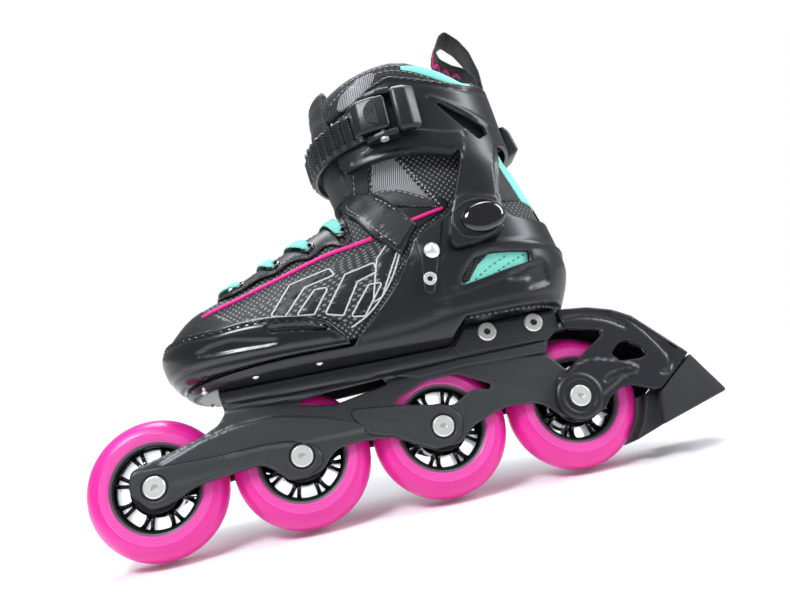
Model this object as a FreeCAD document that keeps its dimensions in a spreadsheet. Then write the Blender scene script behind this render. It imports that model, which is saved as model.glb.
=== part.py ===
import FreeCAD, Part
import Sketcher
import math
import os

V = FreeCAD.Vector
doc = FreeCAD.newDocument("inline_skate")

# ---------------------------------------------------------------- driving dimensions (mm)
# Frame of the part: +X to the heel, -X to the toe, -Y to the outer side of a left boot, +Z up.
# The origin is the floor point under the middle of the wheelbase.
DIMENSIONS = [
    ("wheel_radius", 40.0), ("wheel_width", 24.0), ("crown_radius", 9.0), ("axle_pitch", 82.24),
    ("tyre_bore", 25.2), ("hub_rim", 3.2), ("hub_rim_width", 20.0), ("hub_web_width", 13.0),
    ("hub_core", 14.2), ("hub_shoulder", 9.5), ("hub_windows", 8), ("window_inner", 15.4),
    ("window_outer", 21.2), ("bearing_radius", 11.0), ("bearing_width", 7.0), ("inner_ring", 6.0),
    ("outer_ring", 9.0), ("ring_shield", 0.5), ("ball_radius", 1.42), ("ball_circle", 7.5),
    ("balls", 7), ("axle_radius", 4.0), ("axle_screw", 2.5), ("axle_head", 6.2),
    ("axle_head_height", 2.4), ("axle_seat", 16.4), ("rear_axle_seat", 21.2), ("hex_flats", 4.0),
    ("hex_depth", 1.6), ("axle_fit", 0.05), ("rail_inner", 14.0), ("rail_outer", 16.6),
    ("rail_arm", 18.2), ("rail_boss", 5.8), ("deck_top", 86.0), ("riser_top", 96.0),
    ("deck_thickness", 3.6), ("bracket_inner", 16.9), ("bracket_outer", 20.4),
    ("bracket_boss", 15.0), ("bracket_boss_out", 22.8), ("pad_half_width", 20.0),
    ("pad_toe_half_width", 13.0), ("pad_bolt", 3.0), ("pad_bolt_head", 5.6), ("side_bolt", 3.0),
    ("side_head", 5.65), ("side_head_height", 2.2), ("block_half", 13.8), ("deck_screw", 2.5),
    ("deck_head", 4.6), ("sole_thickness", 5.0), ("shell_gap", 0.35), ("shell_wall", 3.0),
    ("upper_wall", 5.0), ("shaft_wall", 7.0), ("insole_thickness", 4.0), ("cuff_gap", 4.6),
    ("cuff_wall", 2.8), ("pivot_x", 87.0), ("pivot_z", 149.0), ("pivot_bolt", 3.5),
    ("pivot_head", 7.0), ("cap_length", 27.0), ("cap_height", 19.0), ("flex_forward", 10.0),
    ("flex_back", 4.0), ("ladder_gap", 0.6), ("ladder_thickness", 2.4), ("lace_radius", 1.5),
    ("rivet_head", 4.8), ("rivet_shank", 2.2), ("lever_pin", 1.5), ("web_thickness", 1.5),
    ("web_half_width", 10.0),
]

sheet = doc.addObject("Spreadsheet::Sheet", "dims")
for row, (alias, value) in enumerate(DIMENSIONS, start=1):
    sheet.set("A%d" % row, alias)
    sheet.set("B%d" % row, str(value))
    sheet.setAlias("B%d" % row, alias)
doc.recompute()


def dim(alias):
    """One driving dimension, read back from the sheet."""
    return float(sheet.get(alias))


# ---------------------------------------------------------------- the boot's outer form
# Horizontal outlines of the fabric boot from the sole to the collar:
# height, toe-end x, heel-end x, half width at the ball, half width at the heel,
# where the ball and the heel reach their full width (shares of the length), toe shift to the inner side.
BOOT_LEVELS = [
    (80.0, -82.0, 114.0, 31.0, 25.0, 0.30, 0.84, 5.0),
    (86.0, -92.0, 121.0, 37.0, 29.0, 0.30, 0.84, 5.0),
    (92.0, -99.0, 126.0, 41.0, 32.5, 0.31, 0.83, 5.0),
    (102.0, -106.0, 131.5, 44.0, 36.5, 0.31, 0.82, 5.0),
    (112.0, -108.0, 136.0, 44.5, 38.5, 0.32, 0.81, 4.5),
    (120.0, -105.5, 138.0, 43.5, 40.0, 0.36, 0.80, 4.0),
    (127.0, -100.0, 137.5, 42.0, 41.5, 0.40, 0.79, 4.0),
    (134.0, -92.0, 136.0, 41.0, 42.5, 0.46, 0.78, 3.5),
    (142.0, -73.0, 134.5, 40.5, 42.5, 0.52, 0.76, 3.0),
    (152.0, -52.0, 132.5, 40.5, 42.5, 0.58, 0.74, 2.0),
    (163.0, -27.0, 129.5, 41.0, 42.5, 0.62, 0.73, 1.0),
    (174.0, 0.0, 126.0, 42.0, 42.5, 0.60, 0.70, 0.5),
    (184.0, 13.0, 123.0, 42.5, 42.5, 0.55, 0.66, 0.0),
    (196.0, 12.0, 119.0, 42.5, 42.5, 0.50, 0.62, 0.0),
    (212.0, 9.5, 117.0, 42.5, 42.5, 0.48, 0.60, 0.0),
    (232.0, 8.0, 115.5, 43.0, 43.0, 0.47, 0.58, 0.0),
    (255.0, 9.0, 113.0, 44.0, 44.0, 0.47, 0.58, 0.0),
    (285.0, 11.0, 109.0, 45.0, 45.0, 0.47, 0.58, 0.0),
]
NOSE_POWER = 2.15
HEEL_POWER = 2.2
OUTLINE_POINTS = 15


def smooth_level(z):
    """The outline's figures at height z: a monotone cubic through BOOT_LEVELS."""
    zs = [level[0] for level in BOOT_LEVELS]
    z = min(max(z, zs[0]), zs[-1])
    k = max(i for i in range(len(zs) - 1) if zs[i] <= z)
    span = zs[k + 1] - zs[k]
    u = (z - zs[k]) / span
    figures = []
    for column in range(1, len(BOOT_LEVELS[0])):
        column_values = [level[column] for level in BOOT_LEVELS]
        slopes = []
        for i in range(len(zs) - 1):
            slopes.append((column_values[i + 1] - column_values[i]) / (zs[i + 1] - zs[i]))

        def tangent(i):
            if i == 0:
                return slopes[0]
            if i == len(zs) - 1:
                return slopes[-1]
            if slopes[i - 1] * slopes[i] <= 0:
                return 0.0
            return 2 * slopes[i - 1] * slopes[i] / (slopes[i - 1] + slopes[i])

        a, b = column_values[k], column_values[k + 1]
        figures.append(a * (2 * u**3 - 3 * u**2 + 1) + b * (3 * u**2 - 2 * u**3)
                       + span * tangent(k) * (u**3 - 2 * u**2 + u) + span * tangent(k + 1) * (u**3 - u**2))
    return figures


def half_width(t, ball, heel, ball_at, heel_at):
    """Half width of an outline at share t of its length, rounded at the toe and at the heel."""
    if t <= ball_at:
        return ball * max(0.0, 1 - ((ball_at - t) / ball_at) ** NOSE_POWER) ** (1 / NOSE_POWER)
    if t >= heel_at:
        return heel * max(0.0, 1 - ((t - heel_at) / (1 - heel_at)) ** HEEL_POWER) ** (1 / HEEL_POWER)
    blend = 0.5 - 0.5 * math.cos(math.pi * (t - ball_at) / (heel_at - ball_at))
    return ball + (heel - ball) * blend


def outline_point(z, angle, offset=0.0):
    """A point of the boot's outline at height z. Angle 0 is the toe, 180 the heel, over the +Y side."""
    front, back, ball, heel, ball_at, heel_at, shift = smooth_level(z)

    def flat(a):
        t = (1 - math.cos(a)) / 2
        side = 1 if math.sin(a) >= 0 else -1
        centre = shift * max(0.0, 1 - t / ball_at) ** 1.5
        return V(front + (back - front) * t, centre + side * half_width(t, ball, heel, ball_at, heel_at), z)

    if offset == 0.0:
        return flat(angle)
    step = 0.02
    along = flat(angle + step) - flat(angle - step)
    normal = V(-along.y, along.x, 0)
    normal.normalize()
    return flat(angle) + normal * offset


def outline_wire(z, offset):
    """Closed outline at height z, moved outwards by offset."""
    count = 2 * OUTLINE_POINTS
    points = [outline_point(z, 2 * math.pi * i / count, offset) for i in range(count)]
    curve = Part.BSplineCurve()
    curve.interpolate(Points=points, PeriodicFlag=True, Parameters=list(range(count + 1)))
    return Part.Wire([curve.toShape()])


INSTEP_NORMAL = V(-0.42, 0.0, 0.91)
LEVEL_STEP = 9.0
FORM_BOTTOM = 76.0
FORM_TOP = 300.0
WIDE = 90.0
forms = {}


def boot_form(offset, lift=0.0):
    """Solid inside the boot's form, offset outwards in plan and lifted along the instep's normal."""
    key = (offset, lift)
    if key not in forms:
        count = int((FORM_TOP - FORM_BOTTOM) / LEVEL_STEP) + 1
        heights = [FORM_BOTTOM + (FORM_TOP - FORM_BOTTOM) * i / (count - 1) for i in range(count)]
        solid = Part.makeLoft([outline_wire(z, offset) for z in heights], True, False)
        solid.translate(INSTEP_NORMAL * lift)
        forms[key] = solid
    return forms[key].copy()


def skin(offset_from, offset_to, corners, lift_from=0.0, lift_to=0.0):
    """Layer between two offsets of the boot's form, inside a side outline."""
    block = prism(corners, -WIDE, WIDE)
    return boot_form(offset_to, lift_to).common(block).cut(boot_form(offset_from, lift_from))


def side_y(x, z, offset):
    """Distance of the boot's side from its middle plane at x and z, offset outwards."""
    front, back, ball, heel, ball_at, heel_at, shift = smooth_level(z)
    return half_width((x - front) / (back - front), ball, heel, ball_at, heel_at) + offset


# ---------------------------------------------------------------- helpers
nodes = {}


def keep(name, item):
    """Register a document object as a sub-part and label it."""
    item.Label = name
    nodes[name] = item
    return item


def feature(name, shape):
    """A sub-part whose shape is computed from the sheet's dimensions."""
    item = doc.addObject("Part::Feature", name)
    item.Shape = shape
    return keep(name, item)


def rounded_face(corners, y):
    """Face in the plane at y, from (x, z, corner radius) points."""
    count = len(corners)
    edges = []
    joints = []
    for i in range(count):
        x, z, radius = corners[i]
        here = V(x, y, z)
        before = V(corners[i - 1][0], y, corners[i - 1][1]) - here
        after = V(corners[(i + 1) % count][0], y, corners[(i + 1) % count][1]) - here
        reach = min(before.Length, after.Length) * 0.48
        half = before.getAngle(after) / 2
        radius = min(radius, reach * math.tan(half))
        if radius < 0.05:
            joints.append((here, None, here))
            continue
        before.normalize()
        after.normalize()
        cut_back = radius / math.tan(half)
        middle = before + after
        middle.normalize()
        centre = here + middle * (radius / math.sin(half))
        crest = centre - middle * radius
        joints.append((here + before * cut_back, crest, here + after * cut_back))
    for i in range(count):
        start, crest, end = joints[i]
        if crest is not None:
            edges.append(Part.Arc(start, crest, end).toShape())
        following = joints[(i + 1) % count][0]
        if (following - end).Length > 1e-6:
            edges.append(Part.LineSegment(end, following).toShape())
    return Part.Face(Part.Wire(edges))


def prism(corners, y_low, y_high):
    """Side outline of (x, z, corner radius) points, extruded from y_low to y_high."""
    return rounded_face(corners, y_low).extrude(V(0, y_high - y_low, 0))


def outline(points, radius=0.0):
    """Give every (x, z) point of a side outline the same corner radius."""
    return [(x, z, radius) for x, z in points]


def both_sides(make):
    """The outer and the inner copy of a piece: make(side) is called with -1 and with +1."""
    return [make(-1), make(1)]


def bar_y(x, z, radius, y_from, y_to):
    """Cylinder along Y between two distances."""
    low = min(y_from, y_to)
    return Part.makeCylinder(radius, abs(y_to - y_from), V(x, low, z), V(0, 1, 0))


def hex_y(x, z, flats, y_from, y_to):
    """Hexagonal bar along Y between two distances."""
    corner = flats / math.sqrt(3)
    points = [(x + corner * math.cos(math.radians(60 * i)), z + corner * math.sin(math.radians(60 * i)), 0)
              for i in range(6)]
    return prism(points, min(y_from, y_to), max(y_from, y_to))


def join(shapes):
    """One solid from pieces that meet."""
    return shapes[0].multiFuse(shapes[1:]).removeSplitter() if len(shapes) > 1 else shapes[0]


def round_tube(points, radius, bend):
    """Tube along straight runs joined by tangent arcs."""
    edges = []
    start = points[0]
    for i in range(1, len(points) - 1):
        before = points[i - 1] - points[i]
        after = points[i + 1] - points[i]
        half = before.getAngle(after) / 2
        back = min(bend / math.tan(half), 0.45 * before.Length, 0.45 * after.Length)
        before.normalize()
        after.normalize()
        middle = before + after
        middle.normalize()
        arc_radius = back * math.tan(half)
        crest = points[i] + middle * (arc_radius / math.sin(half) - arc_radius)
        edges.append(Part.LineSegment(start, points[i] + before * back).toShape())
        edges.append(Part.Arc(points[i] + before * back, crest, points[i] + after * back).toShape())
        start = points[i] + after * back
    edges.append(Part.LineSegment(start, points[-1]).toShape())
    path = Part.Wire(edges)
    direction = points[1] - points[0]
    profile = Part.Wire([Part.Circle(points[0], direction, radius).toShape()])
    return path.makePipeShell([profile], True, False)


def value(expression):
    """The present value of an expression over the sheet's cells."""
    return float(sheet.evalExpression(expression))


def plane_of(body, role):
    """One of a body's own origin planes."""
    return [item for item in body.Origin.OriginFeatures if item.Role == role][0]


def bound_polygon(body, name, role, corners):
    """Sketch of a closed polygon whose corner coordinates are expressions over the sheet."""
    sketch = body.newObject("Sketcher::SketchObject", name)
    sketch.AttachmentSupport = [(plane_of(body, role), "")]
    sketch.MapMode = "FlatFace"
    places = [V(value(u), value(v), 0) for u, v in corners]
    count = len(places)
    for i in range(count):
        sketch.addGeometry(Part.LineSegment(places[i], places[(i + 1) % count]), False)
    for i in range(count):
        sketch.addConstraint(Sketcher.Constraint("Coincident", i, 2, (i + 1) % count, 1))
    for i, (u, v) in enumerate(corners):
        for kind, text, present in (("DistanceX", u, places[i].x), ("DistanceY", v, places[i].y)):
            index = sketch.addConstraint(Sketcher.Constraint(kind, i, 1, present))
            sketch.setExpression("Constraints[%d]" % index, text)
    return sketch


def turned_body(name, corners):
    """PartDesign body turned about its Y axis from (radius, y) corner expressions."""
    body = doc.addObject("PartDesign::Body", name)
    sketch = bound_polygon(body, name + "_section", "XY_Plane", corners)
    turn = body.newObject("PartDesign::Revolution", name + "_turn")
    turn.Profile = sketch
    turn.ReferenceAxis = (sketch, ["V_Axis"])
    turn.Angle = 360
    body.Tip = turn
    doc.recompute()
    return body


def cut(name, base, tool):
    """Boolean difference of two document objects."""
    item = doc.addObject("Part::Cut", name)
    item.Base = base
    item.Tool = tool
    return item


def group(name, items):
    """One sub-part made of several separate solids."""
    item = doc.addObject("Part::Compound", name)
    item.Links = items
    return keep(name, item)


# ---------------------------------------------------------------- wheels
WHEEL_NUMBERS = [1, 2, 3, 4]


def wheel_x(number):
    """Distance of a wheel's axle along the frame, wheel 1 at the toe."""
    return (number - 2.5) * dim("axle_pitch")


def set_on_axle(item, number):
    """Put a part that was made about the origin's Y axis onto a wheel's axle."""
    item.setExpression("Placement.Base.x", "%s * dims.axle_pitch" % (number - 2.5))
    item.setExpression("Placement.Base.z", "dims.wheel_radius")


TYRE_SECTION = [
    ("dims.tyre_bore", "-dims.wheel_width / 2 + 1.2"),
    ("dims.tyre_bore + 1.6", "-dims.wheel_width / 2"),
    ("dims.wheel_radius", "-dims.wheel_width / 2"), ("dims.wheel_radius", "dims.wheel_width / 2"),
    ("dims.tyre_bore + 1.6", "dims.wheel_width / 2"),
    ("dims.tyre_bore", "dims.wheel_width / 2 - 1.2"),
]
SEAT = "(dims.wheel_width / 2 - dims.bearing_width)"
HUB_SECTION = [
    ("dims.hub_shoulder", "-" + SEAT), ("dims.bearing_radius", "-" + SEAT),
    ("dims.bearing_radius", "-dims.wheel_width / 2"), ("dims.hub_core", "-dims.wheel_width / 2"),
    ("dims.hub_core", "-dims.hub_web_width / 2"),
    ("dims.tyre_bore - dims.hub_rim", "-dims.hub_web_width / 2"),
    ("dims.tyre_bore - dims.hub_rim", "-dims.hub_rim_width / 2"),
    ("dims.tyre_bore", "-dims.hub_rim_width / 2"), ("dims.tyre_bore", "dims.hub_rim_width / 2"),
    ("dims.tyre_bore - dims.hub_rim", "dims.hub_rim_width / 2"),
    ("dims.tyre_bore - dims.hub_rim", "dims.hub_web_width / 2"),
    ("dims.hub_core", "dims.hub_web_width / 2"), ("dims.hub_core", "dims.wheel_width / 2"),
    ("dims.bearing_radius", "dims.wheel_width / 2"), ("dims.bearing_radius", SEAT),
    ("dims.hub_shoulder", SEAT),
]
# One hub window as (share of its radial height, angle from its middle) pairs, with the corners taken off.
WINDOW_SHAPE = [
    (0.0, 7), (0.25, 12), (0.75, 14.5), (1.0, 11), (1.0, -11), (0.75, -14.5), (0.25, -12),
    (0.0, -7),
]


def make_tyre(number):
    body = turned_body("tyre_%d" % number, TYRE_SECTION)
    turned = body.Tip
    rims = []
    for i, edge in enumerate(turned.Shape.Edges, start=1):
        box = edge.BoundBox
        if box.XLength > 1.9 * dim("wheel_radius") and box.YLength < 0.1:
            rims.append("Edge%d" % i)
    crown = body.newObject("PartDesign::Fillet", "tyre_%d_crown" % number)
    crown.Base = (turned, rims)
    crown.setExpression("Radius", "dims.crown_radius")
    body.Tip = crown
    set_on_axle(body, number)
    return keep("tyre_%d" % number, body)


def make_hub(number):
    name = "hub_%d" % number
    body = turned_body(name, HUB_SECTION)
    corners = []
    for share, angle in WINDOW_SHAPE:
        radius = "(dims.window_inner + %s * (dims.window_outer - dims.window_inner))" % share
        corners.append(("%s * sin(%s)" % (radius, angle), "%s * cos(%s)" % (radius, angle)))
    sketch = bound_polygon(body, name + "_window", "XZ_Plane", corners)
    window = body.newObject("PartDesign::Pocket", name + "_window_cut")
    window.Profile = sketch
    window.Type = 1
    window.Midplane = True
    window.setExpression("Length", "dims.wheel_width")
    window.Type = 0
    pattern = body.newObject("PartDesign::PolarPattern", name + "_windows")
    pattern.Originals = [window]
    pattern.Axis = (sketch, ["N_Axis"])
    pattern.Angle = 360
    pattern.setExpression("Occurrences", "dims.hub_windows")
    body.Tip = pattern
    set_on_axle(body, number)
    return keep(name, body)


def ring_pair(name, corners):
    """Two turned rings, one in each bearing seat: corner distances count from the wheel's outer face."""
    items = []
    for side in ("-", ""):
        placed = [(radius, "%s(dims.wheel_width / 2 - %s)" % (side, inset)) for radius, inset in corners]
        items.append(turned_body("%s_%s" % (name, "outer" if side else "inner"), placed))
    return items


OUTER_RING = [
    ("dims.outer_ring", "dims.bearing_width"), ("dims.bearing_radius", "dims.bearing_width"),
    ("dims.bearing_radius", "0"), ("dims.inner_ring + 0.3", "0"),
    ("dims.inner_ring + 0.3", "dims.ring_shield"), ("dims.outer_ring", "dims.ring_shield"),
]
INNER_RING = [
    ("dims.axle_radius + 0.02", "dims.bearing_width"), ("dims.inner_ring", "dims.bearing_width"),
    ("dims.inner_ring", "0"), ("dims.axle_radius + 0.02", "0"),
]


def make_outer_rings(number):
    name = "bearing_outer_rings_%d" % number
    rings = ring_pair(name, OUTER_RING)
    pair = group(name, rings)
    set_on_axle(pair, number)
    return pair


def make_balls(number):
    name = "bearing_balls_%d" % number
    balls = []
    for side in (-1, 1):
        y = side * (dim("wheel_width") - dim("bearing_width")) / 2
        for k in range(int(dim("balls"))):
            turn = 2 * math.pi * k / dim("balls")
            ball = doc.addObject("Part::Sphere", "%s_%d" % (name, len(balls) + 1))
            ball.setExpression("Radius", "dims.ball_radius")
            reach = dim("ball_circle")
            ball.Placement.Base = V(reach * math.cos(turn), y, reach * math.sin(turn))
            balls.append(ball)
    cage = group(name, balls)
    set_on_axle(cage, number)
    return cage


for wheel in WHEEL_NUMBERS:
    make_tyre(wheel)
    make_hub(wheel)
    make_outer_rings(wheel)
    make_balls(wheel)


# ---------------------------------------------------------------- axles
def per_wheel(name, make):
    """A group with one solid for each wheel's axle."""
    items = []
    for number in WHEEL_NUMBERS:
        item = make(number)
        set_on_axle(item, number)
        items.append(item)
    return group(name, items)


inner_rings = []
for wheel in WHEEL_NUMBERS:
    for ring in ring_pair("bearing_inner_ring_%d" % wheel, INNER_RING):
        set_on_axle(ring, wheel)
        inner_rings.append(ring)
group("bearing_inner_rings", inner_rings)
per_wheel("wheel_spacers", lambda number: turned_body("wheel_spacer_%d" % number, [
    ("dims.axle_radius + 0.05", "-" + SEAT), ("dims.inner_ring", "-" + SEAT),
    ("dims.inner_ring", SEAT), ("dims.axle_radius + 0.05", SEAT)]))


def axle_seat(number):
    """Expression for the distance from the middle plane to the seat of a wheel's axle heads."""
    return "dims.rear_axle_seat" if number == 4 else "dims.axle_seat"


def make_axle_sleeve(number):
    seat = axle_seat(number)
    return turned_body("axle_sleeve_%d" % number, [
        ("dims.axle_screw", "-%s + 0.4" % seat), ("dims.axle_radius", "-%s + 0.4" % seat),
        ("dims.axle_radius", seat), ("dims.axle_head", seat),
        ("dims.axle_head", "%s + dims.axle_head_height - 0.5" % seat),
        ("dims.axle_head - 0.5", "%s + dims.axle_head_height" % seat),
        ("dims.axle_screw", "%s + dims.axle_head_height" % seat)])


def make_axle_screw(number):
    name = "axle_screw_%d" % number
    seat = axle_seat(number)
    body = turned_body(name + "_blank", [
        ("0", "0"), ("dims.axle_screw - 0.02", "0"), ("dims.axle_screw - 0.02", "-" + seat),
        ("dims.axle_head", "-" + seat), ("dims.axle_head", "-(%s + dims.axle_head_height - 0.6)" % seat),
        ("dims.axle_head - 0.6", "-(%s + dims.axle_head_height)" % seat),
        ("0", "-(%s + dims.axle_head_height)" % seat)])
    socket = doc.addObject("Part::Prism", name + "_socket")
    socket.Polygon = 6
    socket.setExpression("Circumradius", "dims.hex_flats / sqrt(3)")
    socket.setExpression("Height", "dims.hex_depth * 2")
    socket.Placement = FreeCAD.Placement(V(0, 0, 0), FreeCAD.Rotation(V(1, 0, 0), 90))
    socket.setExpression("Placement.Base.y", "-(%s + dims.axle_head_height - dims.hex_depth)" % seat)
    return cut(name, body, socket)


per_wheel("axle_sleeves", make_axle_sleeve)
per_wheel("axle_screws", make_axle_screw)

# ---------------------------------------------------------------- frame
RAIL_OUTLINE = [
    (-135, 51.5, 5), (-95, 62, 40), (-84, 67, 8), (-79, 73, 4), (-81, 86, 1), (57, 86, 4),
    (67, 96, 4), (125, 96, 1), (124, 84, 2), (115, 77, 3), (112, 69, 5), (122, 57, 4),
    (134, 50, 10), (136, 36, 10), (123, 27, 12), (112, 31, 6), (101, 42, 16), (80, 44, 30),
    (59, 37, 20), (49, 28.5, 8), (33, 28, 8), (22, 34, 12), (12, 40, 12), (-8, 41.5, 12),
    (-22, 40, 12), (-31, 30, 10), (-41, 27.5, 9), (-50, 28, 8), (-58, 36, 10), (-64, 40, 10),
    (-82, 38.5, 40), (-101, 36, 40), (-117, 29, 12), (-127, 28, 8), (-138, 40, 8),
]
WINDOW_FRONT = outline([(-46, 70.5), (-15, 73.6), (13, 74.6), (16, 71), (-18, 65)], 1.5)
WINDOW_REAR = [
    (12, 59, 2), (39, 68.5, 10), (56, 68.5, 10), (75, 58.5, 1.5), (73, 55.5, 1.5), (64, 58, 6),
    (50, 51, 6),
]
FRONT_ARM = [
    (-135, 51, 4), (-88, 50, 60), (-60, 51, 30), (-46, 50, 16), (-31, 44, 10), (-29, 34, 8),
    (-41, 27.8, 9), (-50, 28.3, 8), (-58, 36.3, 10), (-64, 40, 10), (-82, 38.8, 40),
    (-101, 36.3, 40), (-117, 29.3, 12), (-127, 28.3, 8), (-137, 40, 8),
]
MIDDLE_ARM = [
    (-12, 61, 3), (20, 57, 40), (46, 52, 8), (54, 44, 8), (51, 33, 8), (43, 28, 8), (33, 28.3, 8),
    (22, 34.3, 12), (12, 40.3, 12), (-2, 44, 10),
]
DECK_FOLD = [(16, 75.2, 0), (60, 77, 30), (114, 77, 1), (112, 70, 2), (62, 71.5, 30), (34, 70, 10)]


def make_frame():
    rail = prism(RAIL_OUTLINE, -dim("rail_outer"), dim("rail_outer"))
    deck = dim("deck_top") - dim("deck_thickness")
    riser = dim("riser_top") - dim("deck_thickness")
    channel = [
        (-150, 0, 0), (-150, deck, 0), (55, deck, 4), (65, riser, 4), (140, riser, 0), (140, 0, 0),
    ]
    body = rail.cut(prism(channel, -dim("rail_inner"), dim("rail_inner")))
    raised = []
    for side in (-1, 1):
        low, high = sorted((side * (dim("rail_outer") - 0.5), side * dim("rail_arm")))
        raised.append(prism(FRONT_ARM, low, high))
        raised.append(prism(MIDDLE_ARM, low, high))
        raised.append(prism(DECK_FOLD, low, high))
        for number in WHEEL_NUMBERS:
            raised.append(bar_y(wheel_x(number), dim("wheel_radius"), dim("rail_boss"),
                                side * (dim("wheel_width") / 2 + 0.02), side * (dim("rail_inner") + 0.5)))
    body = body.multiFuse(raised)
    holes = [prism(WINDOW_FRONT, -WIDE, WIDE), prism(WINDOW_REAR, -WIDE, WIDE)]
    for number in WHEEL_NUMBERS:
        x, z = wheel_x(number), dim("wheel_radius")
        holes.append(bar_y(x, z, dim("axle_radius") + dim("axle_fit"), -30, 30))
        if number != 4:
            holes.append(bar_y(x, z, dim("axle_head") + 0.7, -30, -dim("axle_seat")))
            holes.append(bar_y(x, z, dim("axle_head") + 0.7, dim("axle_seat"), 30))
    for x, z in SIDE_BOLTS:
        holes.append(bar_y(x, z, dim("side_bolt") + 0.05, -30, 30))
    for x, y, z in DECK_SCREWS:
        holes.append(Part.makeCylinder(dim("deck_screw") + 0.05, 40, V(x, y, z - 20)))
    return feature("frame", body.cut(Part.makeCompound(holes)).removeSplitter())


SIDE_BOLTS = [(80.0, 89.5), (109.0, 89.5)]
DECK_SCREWS = [(-66.0, -8.0, 86.0), (-66.0, 8.0, 86.0), (20.0, 0.0, 86.0), (94.0, 0.0, 96.0)]
make_frame()


def make_side_bolts():
    solids = []
    for x, z in SIDE_BOLTS:
        for side in (-1, 1):
            seat = side * dim("rail_outer")
            top = side * (dim("rail_outer") + dim("side_head_height"))
            shank = bar_y(x, z, dim("side_bolt"), side * 4, seat)
            head = bar_y(x, z, dim("side_head"), seat, top)
            flat = [edge for edge in head.Edges if edge.BoundBox.YLength < 1e-3]
            rim = [edge for edge in flat if abs(edge.BoundBox.YMin - top) < 1e-3]
            socket = hex_y(x, z, dim("hex_flats"), top - side * dim("hex_depth"), top + side)
            solids.append(join([shank, head.makeChamfer(0.6, rim)]).cut(socket))
    return feature("side_bolts", Part.makeCompound(solids))


def make_mount_block():
    """Block between the rails that the front pair of side bolts screws into."""
    half = dim("block_half")
    block = prism(outline([(67, 85), (96, 85), (96, 92.2), (67, 92.2)], 1.0), -half, half)
    x, z = SIDE_BOLTS[0]
    holes = [bar_y(x, z, dim("side_bolt") + 0.02, side * 3.8, side * 20) for side in (-1, 1)]
    holes.append(Part.makeCylinder(dim("deck_head") + 0.6, 20, V(94, 0, 80)))
    return feature("mount_block", block.cut(Part.makeCompound(holes)))


make_side_bolts()
make_mount_block()


# ---------------------------------------------------------------- heel brake
BRACKET_OUTLINE = [
    (124.6, 94, 1), (143, 92, 20), (158, 87.5, 20), (168.5, 81.5, 3), (196.5, 52.5, 1),
    (184, 42.5, 2), (172, 33.5, 8), (159, 39.5, 12), (151, 41, 12), (143, 37, 14), (137, 30.5, 6),
    (126, 25, 10), (115, 27, 10), (108.6, 40, 10), (114, 54, 5), (122, 57.5, 10), (150, 75.5, 2),
    (125.6, 82, 1),
]
BRACKET_WINDOW = [
    (157, 67, 2), (163, 66.5, 3), (169.5, 61, 3), (171, 56.5, 2), (166, 55, 3), (154, 56, 3),
    (149.5, 61, 2),
]
BRACKET_ROOF = [
    (126.4, 93.8, 0), (143, 92, 20), (158, 87.5, 20), (168.5, 81.5, 3), (193, 56, 0), (190, 53, 0),
    (165.6, 78, 3), (156.5, 83.6, 20), (142.5, 87.6, 20), (126.4, 89, 0),
]
BRACKET_SEAT = outline([(176, 46), (184, 42.8), (196, 52), (190, 59), (181, 58)], 1.0)
PAD_BOLT_X = 187.0


def make_bracket():
    inner, outer = dim("bracket_inner"), dim("bracket_outer")
    x, z = wheel_x(4), dim("wheel_radius")
    window = prism(BRACKET_WINDOW, -WIDE, WIDE)
    pieces = [prism(BRACKET_ROOF, -outer, outer), prism(BRACKET_SEAT, -inner - 1, inner + 1)]
    for side in (-1, 1):
        low, high = sorted((side * inner, side * outer))
        pieces.append(prism(BRACKET_OUTLINE, low, high))
        boss = dim("bracket_boss") - 0.8
        pieces.append(bar_y(x, z, boss, side * (inner + 1), side * dim("bracket_boss_out")))
    half = dim("block_half")
    tongue = prism(outline([(99, 86.6), (134, 86.6), (134, 92.2), (99, 92.2)], 0.6), -half, half)
    neck_side = outline([(126.4, 86.6), (136, 86.6), (136, 92.2), (126.4, 93.4)], 0)
    neck = prism(neck_side, -inner - 1, inner + 1)
    body = join(pieces + [tongue, neck])
    holes = [window, bar_y(x, z, dim("axle_radius") + dim("axle_fit"), -30, 30)]
    for side in (-1, 1):
        holes.append(bar_y(x, z, dim("axle_head") + 0.7, side * dim("rear_axle_seat"), side * 30))
        bolt_x, bolt_z = SIDE_BOLTS[1]
        holes.append(bar_y(bolt_x, bolt_z, dim("side_bolt") + 0.02, side * 3.8, side * 20))
    holes.append(Part.makeCylinder(dim("pad_bolt") + 0.02, 14, V(PAD_BOLT_X, 0, 42)))
    holes.append(Part.makeCylinder(dim("deck_head") + 0.6, 20, V(94, 0, 80)))
    return feature("brake_bracket", body.cut(Part.makeCompound(holes)).removeSplitter())


PAD_BODY = [
    (184, 42, 1), (197.4, 51.6, 0.6), (213, 26, 1.5), (169, 14, 1), (170.6, 24, 4), (172.2, 33, 6),
]
PAD_TOE = [
    (165.6, 35, 2), (172.2, 33.2, 0), (171, 24, 0), (171, 14.5, 0), (150.5, 9, 2), (150.5, 20, 1),
]
PAD_CLEARANCE = 2.2


def make_pad():
    half, toe = dim("pad_half_width"), dim("pad_toe_half_width")
    body = join([prism(PAD_BODY, -half, half), prism(PAD_TOE, -toe, toe)])
    clearance = bar_y(wheel_x(4), dim("wheel_radius"), dim("wheel_radius") + PAD_CLEARANCE, -30, 30)
    recess = Part.makeCylinder(dim("pad_bolt_head") + 0.4, 20, V(PAD_BOLT_X, 0, 10))
    shank = Part.makeCylinder(dim("pad_bolt") + 0.3, 40, V(PAD_BOLT_X, 0, 25))
    return feature("brake_pad", body.cut(Part.makeCompound([clearance, recess, shank])).removeSplitter())


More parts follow.
